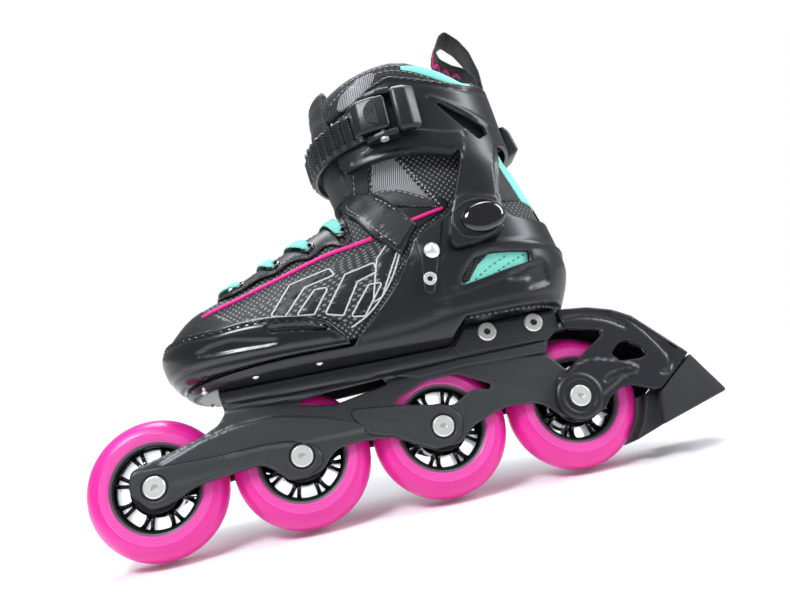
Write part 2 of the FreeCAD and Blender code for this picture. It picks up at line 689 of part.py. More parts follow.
def make_pad_bolt():
    head = Part.makeCylinder(dim("pad_bolt_head"), 3.5, V(PAD_BOLT_X, 0, 26.5))
    shank = Part.makeCylinder(dim("pad_bolt"), 24, V(PAD_BOLT_X, 0, 30))
    socket = Part.makeCylinder(dim("hex_flats") / 2, 2.2, V(PAD_BOLT_X, 0, 26))
    return feature("brake_pad_bolt", join([head, shank]).cut(socket))


make_bracket()
make_pad()
make_pad_bolt()


# ---------------------------------------------------------------- boot shell
def underside(rise, reach=170.0):
    """Side outline of everything above the boot's stepped underside, raised by rise."""
    deck, riser = dim("deck_top") + rise, dim("riser_top") + rise
    step = [(-reach, deck, 0), (57, deck, 4), (67, riser, 4), (reach, riser, 0)]
    return step + [(reach, 320, 0), (-reach, 320, 0)]


SHELL_SIDE = [
    (-170, 80, 0), (-170, 91, 0), (-2, 91, 0), (4, 97.5, 8), (16, 108, 14), (28, 119.5, 20),
    (38, 133, 20), (45.5, 146, 3), (57, 153.5, 10), (72, 160, 10), (87, 165, 12), (99, 160, 12),
    (108, 150.5, 10), (124, 148, 20), (150, 152, 0), (150, 80, 0),
]
HEEL_WINDOW = [
    (68.5, 113.5, 1.5), (70, 118.5, 4), (79, 127.5, 4), (90, 129, 20), (113, 127, 1), (112, 121, 1),
]
TOE_CAP_SIDE = [
    (-130, 92, 0), (-130, 121, 0), (-98, 120, 30), (-81, 117.5, 30), (-55, 117, 60),
    (-28, 112.5, 20), (-14, 107, 12), (-6, 98, 6), (-3.5, 92, 0),
]
TACKS = [(-88.0, 20.0), (-58.0, 34.0), (-22.0, 36.0)]
ARM_DOME = (53.5, 136.0)
ARM_RING = (48.5, 119.5)
PLATE_SIDE = [
    (46, 144.5, 1), (56, 151, 2), (67, 154.5, 1), (61, 137, 10), (55, 122, 6), (51, 110.5, 2),
    (44.5, 112.5, 3), (46, 124, 10), (47, 132, 8),
]


def pivot_bar(radius, y_from, y_to):
    return bar_y(dim("pivot_x"), dim("pivot_z"), radius, y_from, y_to)


def make_shell():
    outer = dim("shell_gap") + dim("shell_wall")
    block = boot_form(outer).common(prism(underside(0.05), -WIDE, WIDE))
    block = block.common(prism(SHELL_SIDE, -WIDE, WIDE))
    hollow = boot_form(dim("shell_gap")).common(prism(underside(dim("sole_thickness")), -WIDE, WIDE))
    body = block.cut(hollow).cut(prism(HEEL_WINDOW, -WIDE, WIDE))
    holes = [pivot_bar(dim("pivot_bolt") + 0.06, -70, 70)]
    for x, y, z in DECK_SCREWS:
        holes.append(Part.makeCylinder(dim("deck_screw") + 0.05, 20, V(x, y, z - 5)))
        holes.append(Part.makeCylinder(dim("deck_head") + 0.2, 20, V(x, y, z + 2.4)))
    for x, y in TACKS:
        holes.extend(Part.makeCylinder(1.05, 3.0, V(x, side * y, 86)) for side in (-1, 1))
    for x, z in (ARM_DOME, ARM_RING):
        holes.append(bar_y(x, z, dim("rivet_shank") + 0.02, -70, 70))
    return feature("shell_base", body.cut(Part.makeCompound(holes)))


def make_toe_cap():
    return feature("toe_cap", skin(dim("shell_gap"), dim("shell_gap") + dim("shell_wall"), TOE_CAP_SIDE))


def make_deck_screws():
    solids = []
    for x, y, z in DECK_SCREWS:
        head = Part.makeCylinder(dim("deck_head"), 2.2, V(x, y, z + 2.45))
        shank = Part.makeCylinder(dim("deck_screw"), 12.4, V(x, y, z - 9.9))
        solids.append(join([head, shank]))
    return feature("deck_screws", Part.makeCompound(solids))


def make_deck_nuts():
    solids = []
    for x, y, z in DECK_SCREWS:
        nut = Part.makeCylinder(dim("deck_head"), 4.0, V(x, y, z - dim("deck_thickness") - 4.05))
        solids.append(nut.cut(Part.makeCylinder(dim("deck_screw") + 0.02, 30, V(x, y, z - 20))))
    return feature("deck_nuts", Part.makeCompound(solids))


def make_tacks():
    solids = []
    for x, y in TACKS:
        for side in (-1, 1):
            head = Part.makeSphere(2.4, V(x, side * y, 87.2), V(0, 0, 1), -90, 90, 360)
            head = head.common(Part.makeBox(6, 6, 1.2, V(x - 3, side * y - 3, 84.8)))
            solids.append(join([head, Part.makeCylinder(1.0, 2.9, V(x, side * y, 86))]))
    return feature("sole_tacks", Part.makeCompound(solids))


def make_strap_plates():
    outside = dim("shell_gap") + dim("shell_wall")
    plates = skin(outside + 0.05, outside + 1.6, PLATE_SIDE)
    holes = [bar_y(x, z, dim("rivet_shank") + 0.02, -70, 70) for x, z in (ARM_DOME, ARM_RING)]
    return feature("strap_plates", plates.cut(Part.makeCompound(holes)))


def make_arm_rivets():
    solids = []
    plate_face = dim("shell_gap") + dim("shell_wall") + 1.6
    for side in (-1, 1):
        y = side_y(ARM_DOME[0], ARM_DOME[1], plate_face + 0.5)
        radius = 6.2
        ball = Part.makeSphere(radius, V(ARM_DOME[0], side * (y + 2.2 - radius), ARM_DOME[1]))
        cap = ball.common(bar_y(ARM_DOME[0], ARM_DOME[1], dim("rivet_head"), side * y, side * (y + 4)))
        shank = bar_y(ARM_DOME[0], ARM_DOME[1], dim("rivet_shank"), side * (y - 4.8), side * (y + 0.4))
        solids.append(join([cap, shank]))
        y = side_y(ARM_RING[0], ARM_RING[1], plate_face + 0.6)
        ring = bar_y(ARM_RING[0], ARM_RING[1], 3.9, side * y, side * (y + 0.9))
        tube = bar_y(ARM_RING[0], ARM_RING[1], dim("rivet_shank"), side * (y - 4.8), side * (y + 0.5))
        bore = bar_y(ARM_RING[0], ARM_RING[1], 1.6, side * (y - 6), side * (y + 3))
        dish = bar_y(ARM_RING[0], ARM_RING[1], 3.0, side * (y + 0.45), side * (y + 3))
        solids.append(join([ring, tube]).cut(bore).cut(dish))
    return feature("arm_rivets", Part.makeCompound(solids))


make_shell()
make_toe_cap()
make_deck_screws()
make_deck_nuts()
make_tacks()
make_strap_plates()
make_arm_rivets()


# ---------------------------------------------------------------- soft boot, foot part
def sector(front_angle, rear_angle, above):
    """Side outline on one side of two lines that meet on the cuff's pivot axis."""
    x, z = dim("pivot_x"), dim("pivot_z")
    front = (-160, z + (x + 160) * math.tan(math.radians(front_angle)), 0)
    rear = (160, z + (160 - x) * math.tan(math.radians(rear_angle)), 0)
    if above:
        return [(x, z, 0), front, (-160, 330, 0), (160, 330, 0), rear]
    return [(x, z, 0), rear, (160, 60, 0), (-160, 60, 0), front]


FOOT_FRONT_ANGLE = 29.0
FOOT_REAR_ANGLE = 15.0
FOLD_SPARE = 1.2
foot_zone = sector(FOOT_FRONT_ANGLE, FOOT_REAR_ANGLE, False)
shaft_zone = sector(FOOT_FRONT_ANGLE + dim("flex_forward") + FOLD_SPARE,
                    FOOT_REAR_ANGLE + dim("flex_back") + FOLD_SPARE, True)
PIVOT_RECESS = 9.0


def ridge_z(x, y, offset=0.0):
    """Height of the boot's upper surface over a point of the plan."""
    low, high = 96.0, 184.0
    for step in range(40):
        z = (low + high) / 2
        front, back, ball, heel, ball_at, heel_at, shift = smooth_level(z)
        t = (x - front + offset) / (back - front)
        inside = t > 0 and half_width(t, ball, heel, ball_at, heel_at) + offset > abs(y)
        if inside:
            low = z
        else:
            high = z
    return low


def on_instep(x, y, height):
    """Point that stands off the instep along its normal."""
    z = ridge_z(x, y)
    step = 0.5
    slope_x = (ridge_z(x + step, y) - ridge_z(x - step, y)) / (2 * step)
    slope_y = (ridge_z(x, y + step) - ridge_z(x, y - step)) / (2 * step)
    normal = V(-slope_x, -slope_y, 1)
    normal.normalize()
    return V(x, y, z) + normal * height


LACE_ROWS = [-58.0, -36.0, -14.5, 6.0]
EYELET_Y = 18.5
EYELET_BORE = 2.4
EYELET_BARREL = 3.1
EYELET_FLANGE = 4.4
EYELET_FOOT = 0.6
EYELET_SHOULDER = 1.95
LACE_HIGH = 4.5
LACE_LOW = -2.6
LACE_BEND = 2.4


def lace_route():
    """Points of the lace: up an eyelet, across the row, down the other one and under the eyestay."""
    points = []
    side = -1
    for x in LACE_ROWS:
        points.append(on_instep(x, side * EYELET_Y, LACE_LOW))
        for share in (1.0, 0.5, 0.0, -0.5, -1.0):
            points.append(on_instep(x, side * EYELET_Y * share, LACE_HIGH))
        points.append(on_instep(x, -side * EYELET_Y, LACE_LOW))
        side = -side
    return points


def lace_tube(radius):
    return round_tube(lace_route(), radius, LACE_BEND)


def eyelet_rod(x, side, radius, low, high):
    """Cylinder on an eyelet's axis between two heights above the instep."""
    foot = on_instep(x, side * EYELET_Y, low)
    return Part.makeCylinder(radius, high - low, foot, on_instep(x, side * EYELET_Y, high) - foot)


def eyelet_seats():
    """Room for the eyelets in the layers under them."""
    seats = []
    for x in LACE_ROWS:
        for side in (-1, 1):
            seats.append(eyelet_rod(x, side, EYELET_BARREL + 0.1, -2.0, 6.0))
            seats.append(eyelet_rod(x, side, EYELET_FLANGE + 0.2, EYELET_SHOULDER - 0.15, 9.0))
    return seats


def make_upper():
    zone = prism(foot_zone, -WIDE, WIDE)
    base = prism(underside(dim("sole_thickness") + 0.3), -WIDE, WIDE)
    inside = boot_form(-dim("upper_wall"), -3.6)
    hollow = inside.common(prism(underside(dim("sole_thickness") + 2.3), -WIDE, WIDE))
    body = boot_form(0.0).common(base).common(zone).cut(hollow)
    holes = [pivot_bar(PIVOT_RECESS, -70, 70), lace_tube(dim("lace_radius") + 0.3)] + eyelet_seats()
    for x, z in (ARM_DOME, ARM_RING):
        holes.append(bar_y(x, z, dim("rivet_shank") + 0.6, -70, 70))
    return feature("upper", body.cut(Part.makeCompound(holes)))


def make_insole():
    rise = dim("sole_thickness") + 2.6
    over = prism(underside(rise + dim("insole_thickness")), -WIDE - 1, WIDE + 1)
    slab = prism(underside(rise), -WIDE, WIDE).cut(over)
    return feature("insole", boot_form(-dim("upper_wall") - 0.7).common(slab))


EYESTAY_LENGTH = (-72.0, 10.8)
EYESTAY_HALF = 24.5
THROAT_HALF = 10.0
THROAT_TOE = -62.0


def toe_corners(block, toe):
    """The upright edges at the toe end of a block."""
    upright = [edge for edge in block.Edges if edge.BoundBox.ZLength > 100]
    return [edge for edge in upright if edge.BoundBox.XMax < toe + 1]


def make_eyestay():
    layer = skin(0.15, 1.1, foot_zone, 0.25, 1.3)
    low, high = EYESTAY_LENGTH
    plan = Part.makeBox(high - low, 2 * EYESTAY_HALF, 120, V(low, -EYESTAY_HALF, 80))
    plan = plan.makeFillet(16, toe_corners(plan, low))
    throat = Part.makeBox(high - THROAT_TOE + 5, 2 * THROAT_HALF, 120, V(THROAT_TOE, -THROAT_HALF, 80))
    throat = throat.makeFillet(8, toe_corners(throat, THROAT_TOE))
    stay = layer.common(plan).cut(throat)
    holes = [lace_tube(dim("lace_radius") + 0.3)] + eyelet_seats()
    stay = stay.cut(Part.makeCompound(holes))
    return feature("eyestay", max(stay.Solids, key=lambda solid: solid.Volume))


def make_eyelets():
    solids = []
    for x in LACE_ROWS:
        for side in (-1, 1):
            flange = eyelet_rod(x, side, EYELET_FLANGE, EYELET_SHOULDER, EYELET_SHOULDER + 0.9)
            barrel = eyelet_rod(x, side, EYELET_BARREL, EYELET_FOOT, EYELET_SHOULDER + 0.4)
            solids.append(join([flange, barrel]).cut(eyelet_rod(x, side, EYELET_BORE, -3.0, 9.0)))
    return feature("eyelets", Part.makeCompound(solids))


STRAP_SIDE = [
    (11.5, 200, 0), (11.5, 172, 6), (22, 153, 30), (37.6, 136.8, 1), (44.4, 146.8, 1), (50.4, 153.6, 1),
    (42, 166, 20), (34, 176, 10), (30, 200, 0),
]


def make_instep_strap():
    layer = skin(0.45, 2.6, STRAP_SIDE, 0.6, 2.2)
    return feature("instep_strap", layer.common(prism(foot_zone, -WIDE, WIDE)))


make_upper()
make_insole()
make_eyestay()
make_eyelets()
feature("lace", lace_tube(dim("lace_radius")))
make_instep_strap()

# ---------------------------------------------------------------- cuff and the soft shaft inside it
CUFF_SIDE = [
    (67, 142, 3), (68.5, 134, 4), (84, 134.6, 30), (99, 138, 4), (103, 143, 4), (105.5, 163, 40),
    (107, 178, 30), (112, 200, 8), (150, 202, 0), (150, 244, 0), (114, 243.5, 14), (102, 239, 20),
    (87, 240.5, 30), (62, 247, 20), (51, 249.5, 8), (38, 245, 20), (26, 238, 20), (12, 226, 4),
    (13, 205, 2), (16, 198, 2), (40, 198, 60), (62, 195.5, 40), (82, 190, 4), (86.5, 196, 1),
    (82, 182, 30), (74, 162, 30),
]
CUFF_SLOT = [(77, 228.5, 0.6), (106, 210, 1.5), (107, 205.5, 1.5), (99, 200.5, 1.5)]
TONGUE_HALF = 20.0
TONGUE_BACK = 25.0
COLLAR_TOP = [
    (-30, 232, 0), (-30, 252, 0), (8, 253, 20), (20, 256, 30), (31, 258.5, 30), (44, 260.5, 30),
    (56, 261.5, 30), (66, 260, 20), (80, 253.5, 30), (92, 246.5, 20), (99, 244.5, 8),
    (106, 250, 10), (112, 260, 4), (118, 262, 4), (140, 262, 0), (140, 232, 0),
]
COLLAR_SEAM = [
    (-30, 244, 0), (10, 234, 10), (30, 239, 30), (52, 243, 20), (66, 241, 20), (84, 236, 20),
    (100, 233, 20), (112, 236, 10), (150, 238, 0),
]


def seam(drop):
    """Side outline of everything below the seam between the shaft and its collar, lowered by drop."""
    edge = [(x, z - drop, radius) for x, z, radius in COLLAR_SEAM]
    return edge + [(150, 60, 0), (-30, 60, 0)]


def tongue_slot(spare):
    """Space that the tongue takes at the front of the shaft."""
    half = TONGUE_HALF + spare
    return Part.makeBox(60, 2 * half, 260, V(TONGUE_BACK + spare - 60, -half, 80))


def make_cuff():
    body = skin(dim("cuff_gap"), dim("cuff_gap") + dim("cuff_wall"), CUFF_SIDE)
    body = body.cut(prism(CUFF_SLOT, -WIDE, WIDE))
    holes = [pivot_bar(dim("pivot_bolt") + 0.02, -70, 70)]
    holes.append(Part.makeCylinder(1.5, 30, V(105, 0, 212), V(1, 0, 0)))
    holes.append(bar_y(ANCHOR[0], ANCHOR[1], ANCHOR_SHANK + 0.02, 30, 70))
    return feature("cuff", body.cut(Part.makeCompound(holes)))


ANCHOR = (40.0, 226.0)
ANCHOR_SHANK = 2.5


def make_shaft():
    body = skin(-dim("shaft_wall"), -0.2, shaft_zone).common(prism(seam(0.3), -WIDE, WIDE))
    recess = pivot_bar(32, -70, 70).cut(boot_form(-2.6))
    holes = [pivot_bar(PIVOT_RECESS, -70, 70), recess, tongue_slot(0.4)]
    return feature("liner_shaft", body.cut(Part.makeCompound(holes)))


def make_collar():
    layer = skin(-dim("shaft_wall") + 0.5, 3.4, COLLAR_TOP)
    return feature("collar", layer.cut(prism(seam(0), -WIDE - 1, WIDE + 1)).cut(tongue_slot(0.4)))


TONGUE_SIDE = [(-20, 170, 0), (-20, 268, 0), (6, 268.5, 5), (20, 266, 5), (26, 262, 0), (26, 170, 0)]


def make_tongue():
    body = skin(-4.5, 4.0, TONGUE_SIDE).common(tongue_slot(0.0))
    return feature("tongue", body.common(prism(shaft_zone, -WIDE, WIDE)))


STAY_HALF = 11.0


def make_back_stay():
    band = Part.makeBox(60, 2 * STAY_HALF, 33, V(100, -STAY_HALF, 166.5))
    return feature("back_stay", skin(0.1, 2.0, shaft_zone).common(band))


PULL_OUTER = [
    (117.6, 250.2, 0.3), (121.4, 252, 3), (121.6, 266, 12), (118.6, 282, 16), (113.4, 292, 12),
    (105.5, 300.5, 3), (100.4, 297, 4), (95, 287, 6), (96.4, 279, 8), (104, 272.6, 10),
    (111.6, 269, 8), (116.4, 262, 5),
]


def make_pull_tab():
    half, thick = dim("web_half_width"), dim("web_thickness")
    face = rounded_face(PULL_OUTER, -half)
    hollow = Part.Face(face.OuterWire.makeOffset2D(-thick))
    loop = face.cut(hollow).extrude(V(0, 2 * half, 0))
    return feature("pull_tab", loop)


def pivot_stack(name, make):
    return feature(name, Part.makeCompound(both_sides(make)))


def cuff_face():
    """Distance from the middle plane to the cuff's outer face at the pivot."""
    return side_y(dim("pivot_x"), dim("pivot_z"), dim("cuff_gap") + dim("cuff_wall"))


def make_pivot_bolt(side):
    face = cuff_face() + 0.4
    head = pivot_bar(dim("pivot_head"), side * face, side * (face + 1.6))
    shank = pivot_bar(dim("pivot_bolt"), side * (face - 9.4), side * (face + 0.4))
    return join([head, shank])


def make_pivot_nut(side):
    face = cuff_face() + 0.4
    nut = pivot_bar(6.0, side * (face - 9.5), side * (face - 8.2))
    return nut.cut(pivot_bar(dim("pivot_bolt") + 0.02, side * 20, side * 60))


CAP_WALL = 1.3
CAP_DEPTH = 4.4
CAP_TILT = 6.0


def oval(length, height, side, y_from, y_to):
    """Oval bar along Y about the pivot, with a slight tilt."""
    ellipse = Part.Ellipse(V(0, 0, 0), length / 2, height / 2).toShape()
    bar = Part.Face(Part.Wire([ellipse])).extrude(V(0, 0, abs(y_to - y_from)))
    bar.rotate(V(0, 0, 0), V(0, 0, 1), CAP_TILT * side)
    bar.rotate(V(0, 0, 0), V(1, 0, 0), -90)
    bar.translate(V(dim("pivot_x"), min(side * y_from, side * y_to), dim("pivot_z")))
    return bar


def make_pivot_cap(side):
    face = cuff_face() + 0.45
    length, height = dim("cap_length"), dim("cap_height")
    shell = oval(length, height, side, face, face + CAP_DEPTH)
    crest = [edge for edge in shell.Edges if abs(abs(edge.BoundBox.YMin) - face - CAP_DEPTH) < 0.01
             and edge.BoundBox.YLength < 0.01]
    shell = shell.makeFillet(2.4, crest)
    less = 2 * CAP_WALL + 1
    hollow = oval(length - less, height - less, side, face - 0.1, face + CAP_DEPTH / 2)
    return shell.cut(hollow)


REAR_HOOD = [
    (126.6, 224, 2), (130, 219.5, 6), (133, 206, 2), (128, 202.5, 2), (122, 199.5, 0),
    (121, 224, 0),
]
HOOD_HALF = 11.0


def make_rear_hood():
    block = prism(REAR_HOOD, -HOOD_HALF, HOOD_HALF)
    hood = block.cut(boot_form(dim("cuff_gap") + dim("cuff_wall") + 0.3))
    screw = Part.makeCylinder(1.55, 60, V(100, 0, 212), V(1, 0, 0))
    head = Part.makeCylinder(3.2, 20, V(129.6, 0, 212), V(1, 0, 0))
    return feature("rear_hood", hood.cut(screw).cut(head))


def make_rear_screw():
    shank = Part.makeCylinder(1.48, 12, V(118.2, 0, 212), V(1, 0, 0))
    head = Part.makeCylinder(2.9, 1.4, V(129.7, 0, 212), V(1, 0, 0))
    return feature("rear_hood_screw", join([shank, head]))


LADDER_SIDE = [
    (42, 234, 3), (28, 232, 20), (10, 229, 30), (-20, 229, 0), (-20, 210, 0), (10, 210, 30),
    (28, 211, 20), (43, 213, 3),
]


def make_ladder():
    start = dim("cuff_gap") + dim("cuff_wall") + dim("ladder_gap")
    band = skin(start, start + dim("ladder_thickness"), LADDER_SIDE)
    hole = bar_y(ANCHOR[0], ANCHOR[1], ANCHOR_SHANK + 0.02, 30, 70)
    return feature("ladder_strap", band.cut(hole))


def make_anchor():
    x, z = ANCHOR
    under = dim("cuff_gap") + dim("cuff_wall") + dim("ladder_gap")
    face = side_y(x, z, under + dim("ladder_thickness"))
    head = bar_y(x, z, 5.2, face + 1.1, face + 2.7)
    shank = bar_y(x, z, ANCHOR_SHANK, face - 8.8, face + 1.2)
    nut = bar_y(x, z, 4.4, face - 9.0, face - 7.1).cut(bar_y(x, z, ANCHOR_SHANK + 0.02, 20, 70))
    return feature("strap_anchor", Part.makeCompound([join([head, shank]), nut]))


# ---------------------------------------------------------------- ratchet buckle
# The buckle is drawn in its own frame on the cuff's outer side: u towards the heel, v outwards.
BUCKLE_ORIGIN = V(45.0, -49.7, 0.0)
BUCKLE_TURN = -12.0
LEVER_LOW = 211.4
LEVER_HIGH = 233.2
LEVER_PIN = (-3.0, 6.0)
PAWL_PIN = (-7.6, 5.6)


def on_buckle(shape):
    """Bring a shape from the buckle's own frame to its place on the cuff."""
    shape.rotate(V(0, 0, 0), V(0, 0, 1), BUCKLE_TURN)
    shape.translate(BUCKLE_ORIGIN)
    return shape


def buckle_prism(corners, z_low, z_high):
    """Plan outline of (u, v, corner radius) points of the buckle's frame, extruded upwards."""
    face = rounded_face([(u, v, radius) for u, v, radius in corners], 0.0)
    solid = face.extrude(V(0, z_high - z_low, 0))
    solid.rotate(V(0, 0, 0), V(1, 0, 0), 90)
    solid.translate(V(0, 0, z_low))
    return solid


def buckle_pin(place, radius, z_low, z_high):
    return Part.makeCylinder(radius, z_high - z_low, V(place[0], -place[1], z_low))


BASE_REAR = [
    (5.4, 0.5, 0.4), (5.4, 7.4, 2), (8, 9.2, 3), (15, 8.2, 6), (20.5, 3.6, 2), (20.5, 0.5, 0.3),
]
BASE_EAR = [(-13, 0.8, 0.4), (-14, 4.4, 1.5), (-9, 7.2, 3), (-3, 9.2, 4), (6, 8.6, 0), (6, 0.5, 0)]
LEVER_PLAN = [
    (-19.0, 3.6, 0.8), (-19.6, 6.4, 1.5), (-15, 9.6, 5), (-6, 11.0, 8), (1.6, 10.2, 2),
    (2.4, 7.2, 1), (0.0, 4.6, 2.2), (-3, 3.1, 1),
]
LEVER_POCKET = [(-14.5, 2.0, 0), (-14.5, 6.8, 1), (-9, 8.2, 1), (-5.2, 8.2, 0.6), (-5.2, 2.0, 0)]
PAWL_PLAN = [
    (-9.0, 6.6, 0.8), (-6.2, 6.9, 0.8), (-6.2, 4.4, 0.8), (-11.4, 2.95, 0.2), (-12.2, 3.5, 0.3),
]


def make_buckle_base():
    rear = buckle_prism(BASE_REAR, 208.6, 237.6)
    ears = [buckle_prism(BASE_EAR, 206.6, 210.6), buckle_prism(BASE_EAR, 234.0, 237.6)]
    web = buckle_prism([(5.4, 0.5, 0), (5.4, 5.0, 0), (9, 5.0, 0), (9, 0.5, 0)], 206.6, 212)
    body = join([rear, web] + ears)
    body = body.cut(buckle_pin(LEVER_PIN, dim("lever_pin") + 0.01, 200, 240))
    return feature("buckle_base", on_buckle(body))


def make_buckle_lever():
    body = buckle_prism(LEVER_PLAN, LEVER_LOW, LEVER_HIGH)
    pocket = buckle_prism(LEVER_POCKET, LEVER_LOW + 4, LEVER_HIGH - 4)
    holes = [pocket, buckle_pin(LEVER_PIN, dim("lever_pin") + 0.05, 200, 240)]
    holes.append(buckle_pin(PAWL_PIN, 0.91, LEVER_LOW + 1.5, LEVER_HIGH - 1.5))
    return feature("buckle_lever", on_buckle(body.cut(Part.makeCompound(holes))))


def make_lever_pin():
    shank = buckle_pin(LEVER_PIN, dim("lever_pin"), 206.4, 237.8)
    head = buckle_pin(LEVER_PIN, 2.6, 205.4, 206.6)
    return feature("buckle_lever_pin", on_buckle(join([shank, head])))


def make_pawl():
    body = buckle_prism(PAWL_PLAN, LEVER_LOW + 4.3, LEVER_HIGH - 4.3)
    slot = Part.makeBox(8, 8, 5.0, V(PAWL_PIN[0] - 1.9, -9.2, 220.0))
    body = body.cut(slot).cut(buckle_pin(PAWL_PIN, 0.95, 200, 240))
    return feature("buckle_pawl", on_buckle(body))


def make_pawl_pin():
    return feature("pawl_pin", on_buckle(buckle_pin(PAWL_PIN, 0.9, LEVER_LOW + 1.6, LEVER_HIGH - 1.6)))


def make_pawl_spring():
    """Torsion coil around the pawl's pin."""
    wire_radius = 0.22
    coil_radius = 1.3
    helix = Part.makeHelix(0.9, 3.6, coil_radius)
    profile = Part.Wire([Part.Circle(V(coil_radius, 0, 0), V(0, 1, 0), wire_radius).toShape()])
    coil = Part.Wire(helix.Edges).makePipeShell([profile], True, True)
    coil.translate(V(PAWL_PIN[0], -PAWL_PIN[1], 220.7))
    return feature("pawl_spring", on_buckle(coil))


make_cuff()
make_shaft()
make_collar()
make_tongue()
make_back_stay()
make_pull_tab()
pivot_stack("pivot_bolts", make_pivot_bolt)
pivot_stack("pivot_nuts", make_pivot_nut)
pivot_stack("pivot_caps", make_pivot_cap)
make_rear_hood()
make_rear_screw()
make_ladder()
make_anchor()
make_buckle_base()
make_buckle_lever()
make_lever_pin()
make_pawl()
make_pawl_pin()
make_pawl_spring()


# ---------------------------------------------------------------- write the sub-parts
doc.recompute()
os.makedirs("parts", exist_ok=True)
for item in doc.Objects:
    if "Invalid" in item.State or "Error" in item.State:
        raise RuntimeError("%s did not build: %s" % (item.Label, item.State))
for name, item in nodes.items():
    shape = item.Shape
    if shape.isNull() or not shape.isValid() or shape.Volume <= 0:
        raise RuntimeError("%s has no valid shape" % name)
    shape.exportStep("parts/%s.step" % name)
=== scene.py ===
import math

import bmesh
import bpy
import numpy as np
from mathutils import Matrix, Vector, geometry


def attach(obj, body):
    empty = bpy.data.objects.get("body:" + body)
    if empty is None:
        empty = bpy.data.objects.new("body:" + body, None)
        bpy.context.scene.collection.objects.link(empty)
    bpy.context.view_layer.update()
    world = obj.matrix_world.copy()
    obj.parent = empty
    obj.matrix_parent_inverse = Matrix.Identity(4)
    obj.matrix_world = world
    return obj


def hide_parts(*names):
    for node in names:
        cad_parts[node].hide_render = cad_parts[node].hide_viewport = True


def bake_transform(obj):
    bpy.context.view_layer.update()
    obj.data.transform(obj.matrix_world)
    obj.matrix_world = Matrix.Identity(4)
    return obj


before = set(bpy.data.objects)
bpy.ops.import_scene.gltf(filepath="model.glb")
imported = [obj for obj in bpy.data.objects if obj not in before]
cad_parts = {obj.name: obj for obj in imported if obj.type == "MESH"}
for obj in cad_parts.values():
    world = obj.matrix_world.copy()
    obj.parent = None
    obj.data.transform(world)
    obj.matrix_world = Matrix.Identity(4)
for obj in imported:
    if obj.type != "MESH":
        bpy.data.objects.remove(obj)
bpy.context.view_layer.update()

scene = bpy.context.scene
MM = 0.001
CHASSIS = "chassis_and_boot"
CUFF = "cuff"
SIDES = {-1: "outer", 1: "inner"}


# ---------------------------------------------------------------- materials
def node(tree, kind, **sockets):
    """New shader node with its sockets set; an underscore stands for a space in a socket's name."""
    item = tree.nodes.new(kind)
    for key, value in sockets.items():
        item.inputs[key.replace("_", " ")].default_value = value
    return item


def press(tree, height, depth):
    """Bump of a depth in metres, on top of what already shapes the shader's normal."""
    shader = tree.nodes["Principled BSDF"]
    bump = node(tree, "ShaderNodeBump", Distance=depth, Strength=1.0)
    tree.links.new(height, bump.inputs["Height"])
    held = shader.inputs["Normal"].links
    if held:
        tree.links.new(held[0].from_socket, bump.inputs["Normal"])
    tree.links.new(bump.outputs["Normal"], shader.inputs["Normal"])


def material(name, colour, rough, metal=0.0, coat=0.0, grain=None, edge=0.0, sheen=0.0):
    """Principled finish; grain is (cells per metre, bump depth), edge the radius of sharp edges, in metres."""
    mat = bpy.data.materials.new(name)
    mat.use_nodes = True
    tree = mat.node_tree
    shader = tree.nodes["Principled BSDF"]
    finish = {"Base Color": (*colour, 1), "Roughness": rough, "Metallic": metal, "Coat Weight": coat,
              "Coat Roughness": 0.12, "Sheen Weight": sheen}
    for socket, value in finish.items():
        shader.inputs[socket].default_value = value
    if edge:
        bevel = node(tree, "ShaderNodeBevel", Radius=edge)
        bevel.samples = 4
        tree.links.new(bevel.outputs["Normal"], shader.inputs["Normal"])
    if grain:
        place = tree.nodes.new("ShaderNodeTexCoord")
        noise = node(tree, "ShaderNodeTexNoise", Scale=grain[0], Detail=3.0)
        tree.links.new(place.outputs["Object"], noise.inputs["Vector"])
        press(tree, noise.outputs["Fac"], grain[1])
        spread = node(tree, "ShaderNodeMapRange", To_Min=rough - 0.05, To_Max=rough + 0.07)
        tree.links.new(noise.outputs["Fac"], spread.inputs["Value"])
        tree.links.new(spread.outputs["Result"], shader.inputs["Roughness"])
    return mat


def two_tone(mat, second, pattern, depth):
    """Mixes a second colour in by a pattern socket, and presses the pattern in as a bump."""
    tree = mat.node_tree
    shader = tree.nodes["Principled BSDF"]
    mix = tree.nodes.new("ShaderNodeMix")
    mix.data_type = "RGBA"
    mix.inputs["A"].default_value = shader.inputs["Base Color"].default_value
    mix.inputs["B"].default_value = (*second, 1)
    tree.links.new(pattern, mix.inputs["Factor"])
    tree.links.new(mix.outputs["Result"], shader.inputs["Base Color"])
    press(tree, pattern, depth)
    return mat


def flat_vector(tree, turn):
    """The piece's own flat coordinates, in metres, turned."""
    place = tree.nodes.new("ShaderNodeTexCoord")
    mapping = node(tree, "ShaderNodeMapping", Rotation=(0, 0, turn))
    tree.links.new(place.outputs["UV"], mapping.inputs["Vector"])
    return mapping.outputs["Vector"]


def ramp(tree, source, low, high):
    """0 below low, 1 above high; the other way round when low is above high."""
    rises = low < high
    spread = node(tree, "ShaderNodeMapRange", From_Min=min(low, high), From_Max=max(low, high),
                  To_Min=0.0 if rises else 1.0, To_Max=1.0 if rises else 0.0)
    tree.links.new(source, spread.inputs["Value"])
    return spread.outputs["Result"]


def dots(mat, second, pitch, size, turn=0.6, depth=0.0002):
    """Regular dots or holes of a knitted or punched cloth, at a pitch in metres."""
    tree = mat.node_tree
    cells = tree.nodes.new("ShaderNodeTexVoronoi")
    cells.voronoi_dimensions = "2D"
    cells.inputs["Scale"].default_value = 1.0 / pitch
    cells.inputs["Randomness"].default_value = 0.0
    tree.links.new(flat_vector(tree, turn), cells.inputs["Vector"])
    return two_tone(mat, second, ramp(tree, cells.outputs["Distance"], size + 0.09, size - 0.09), depth)


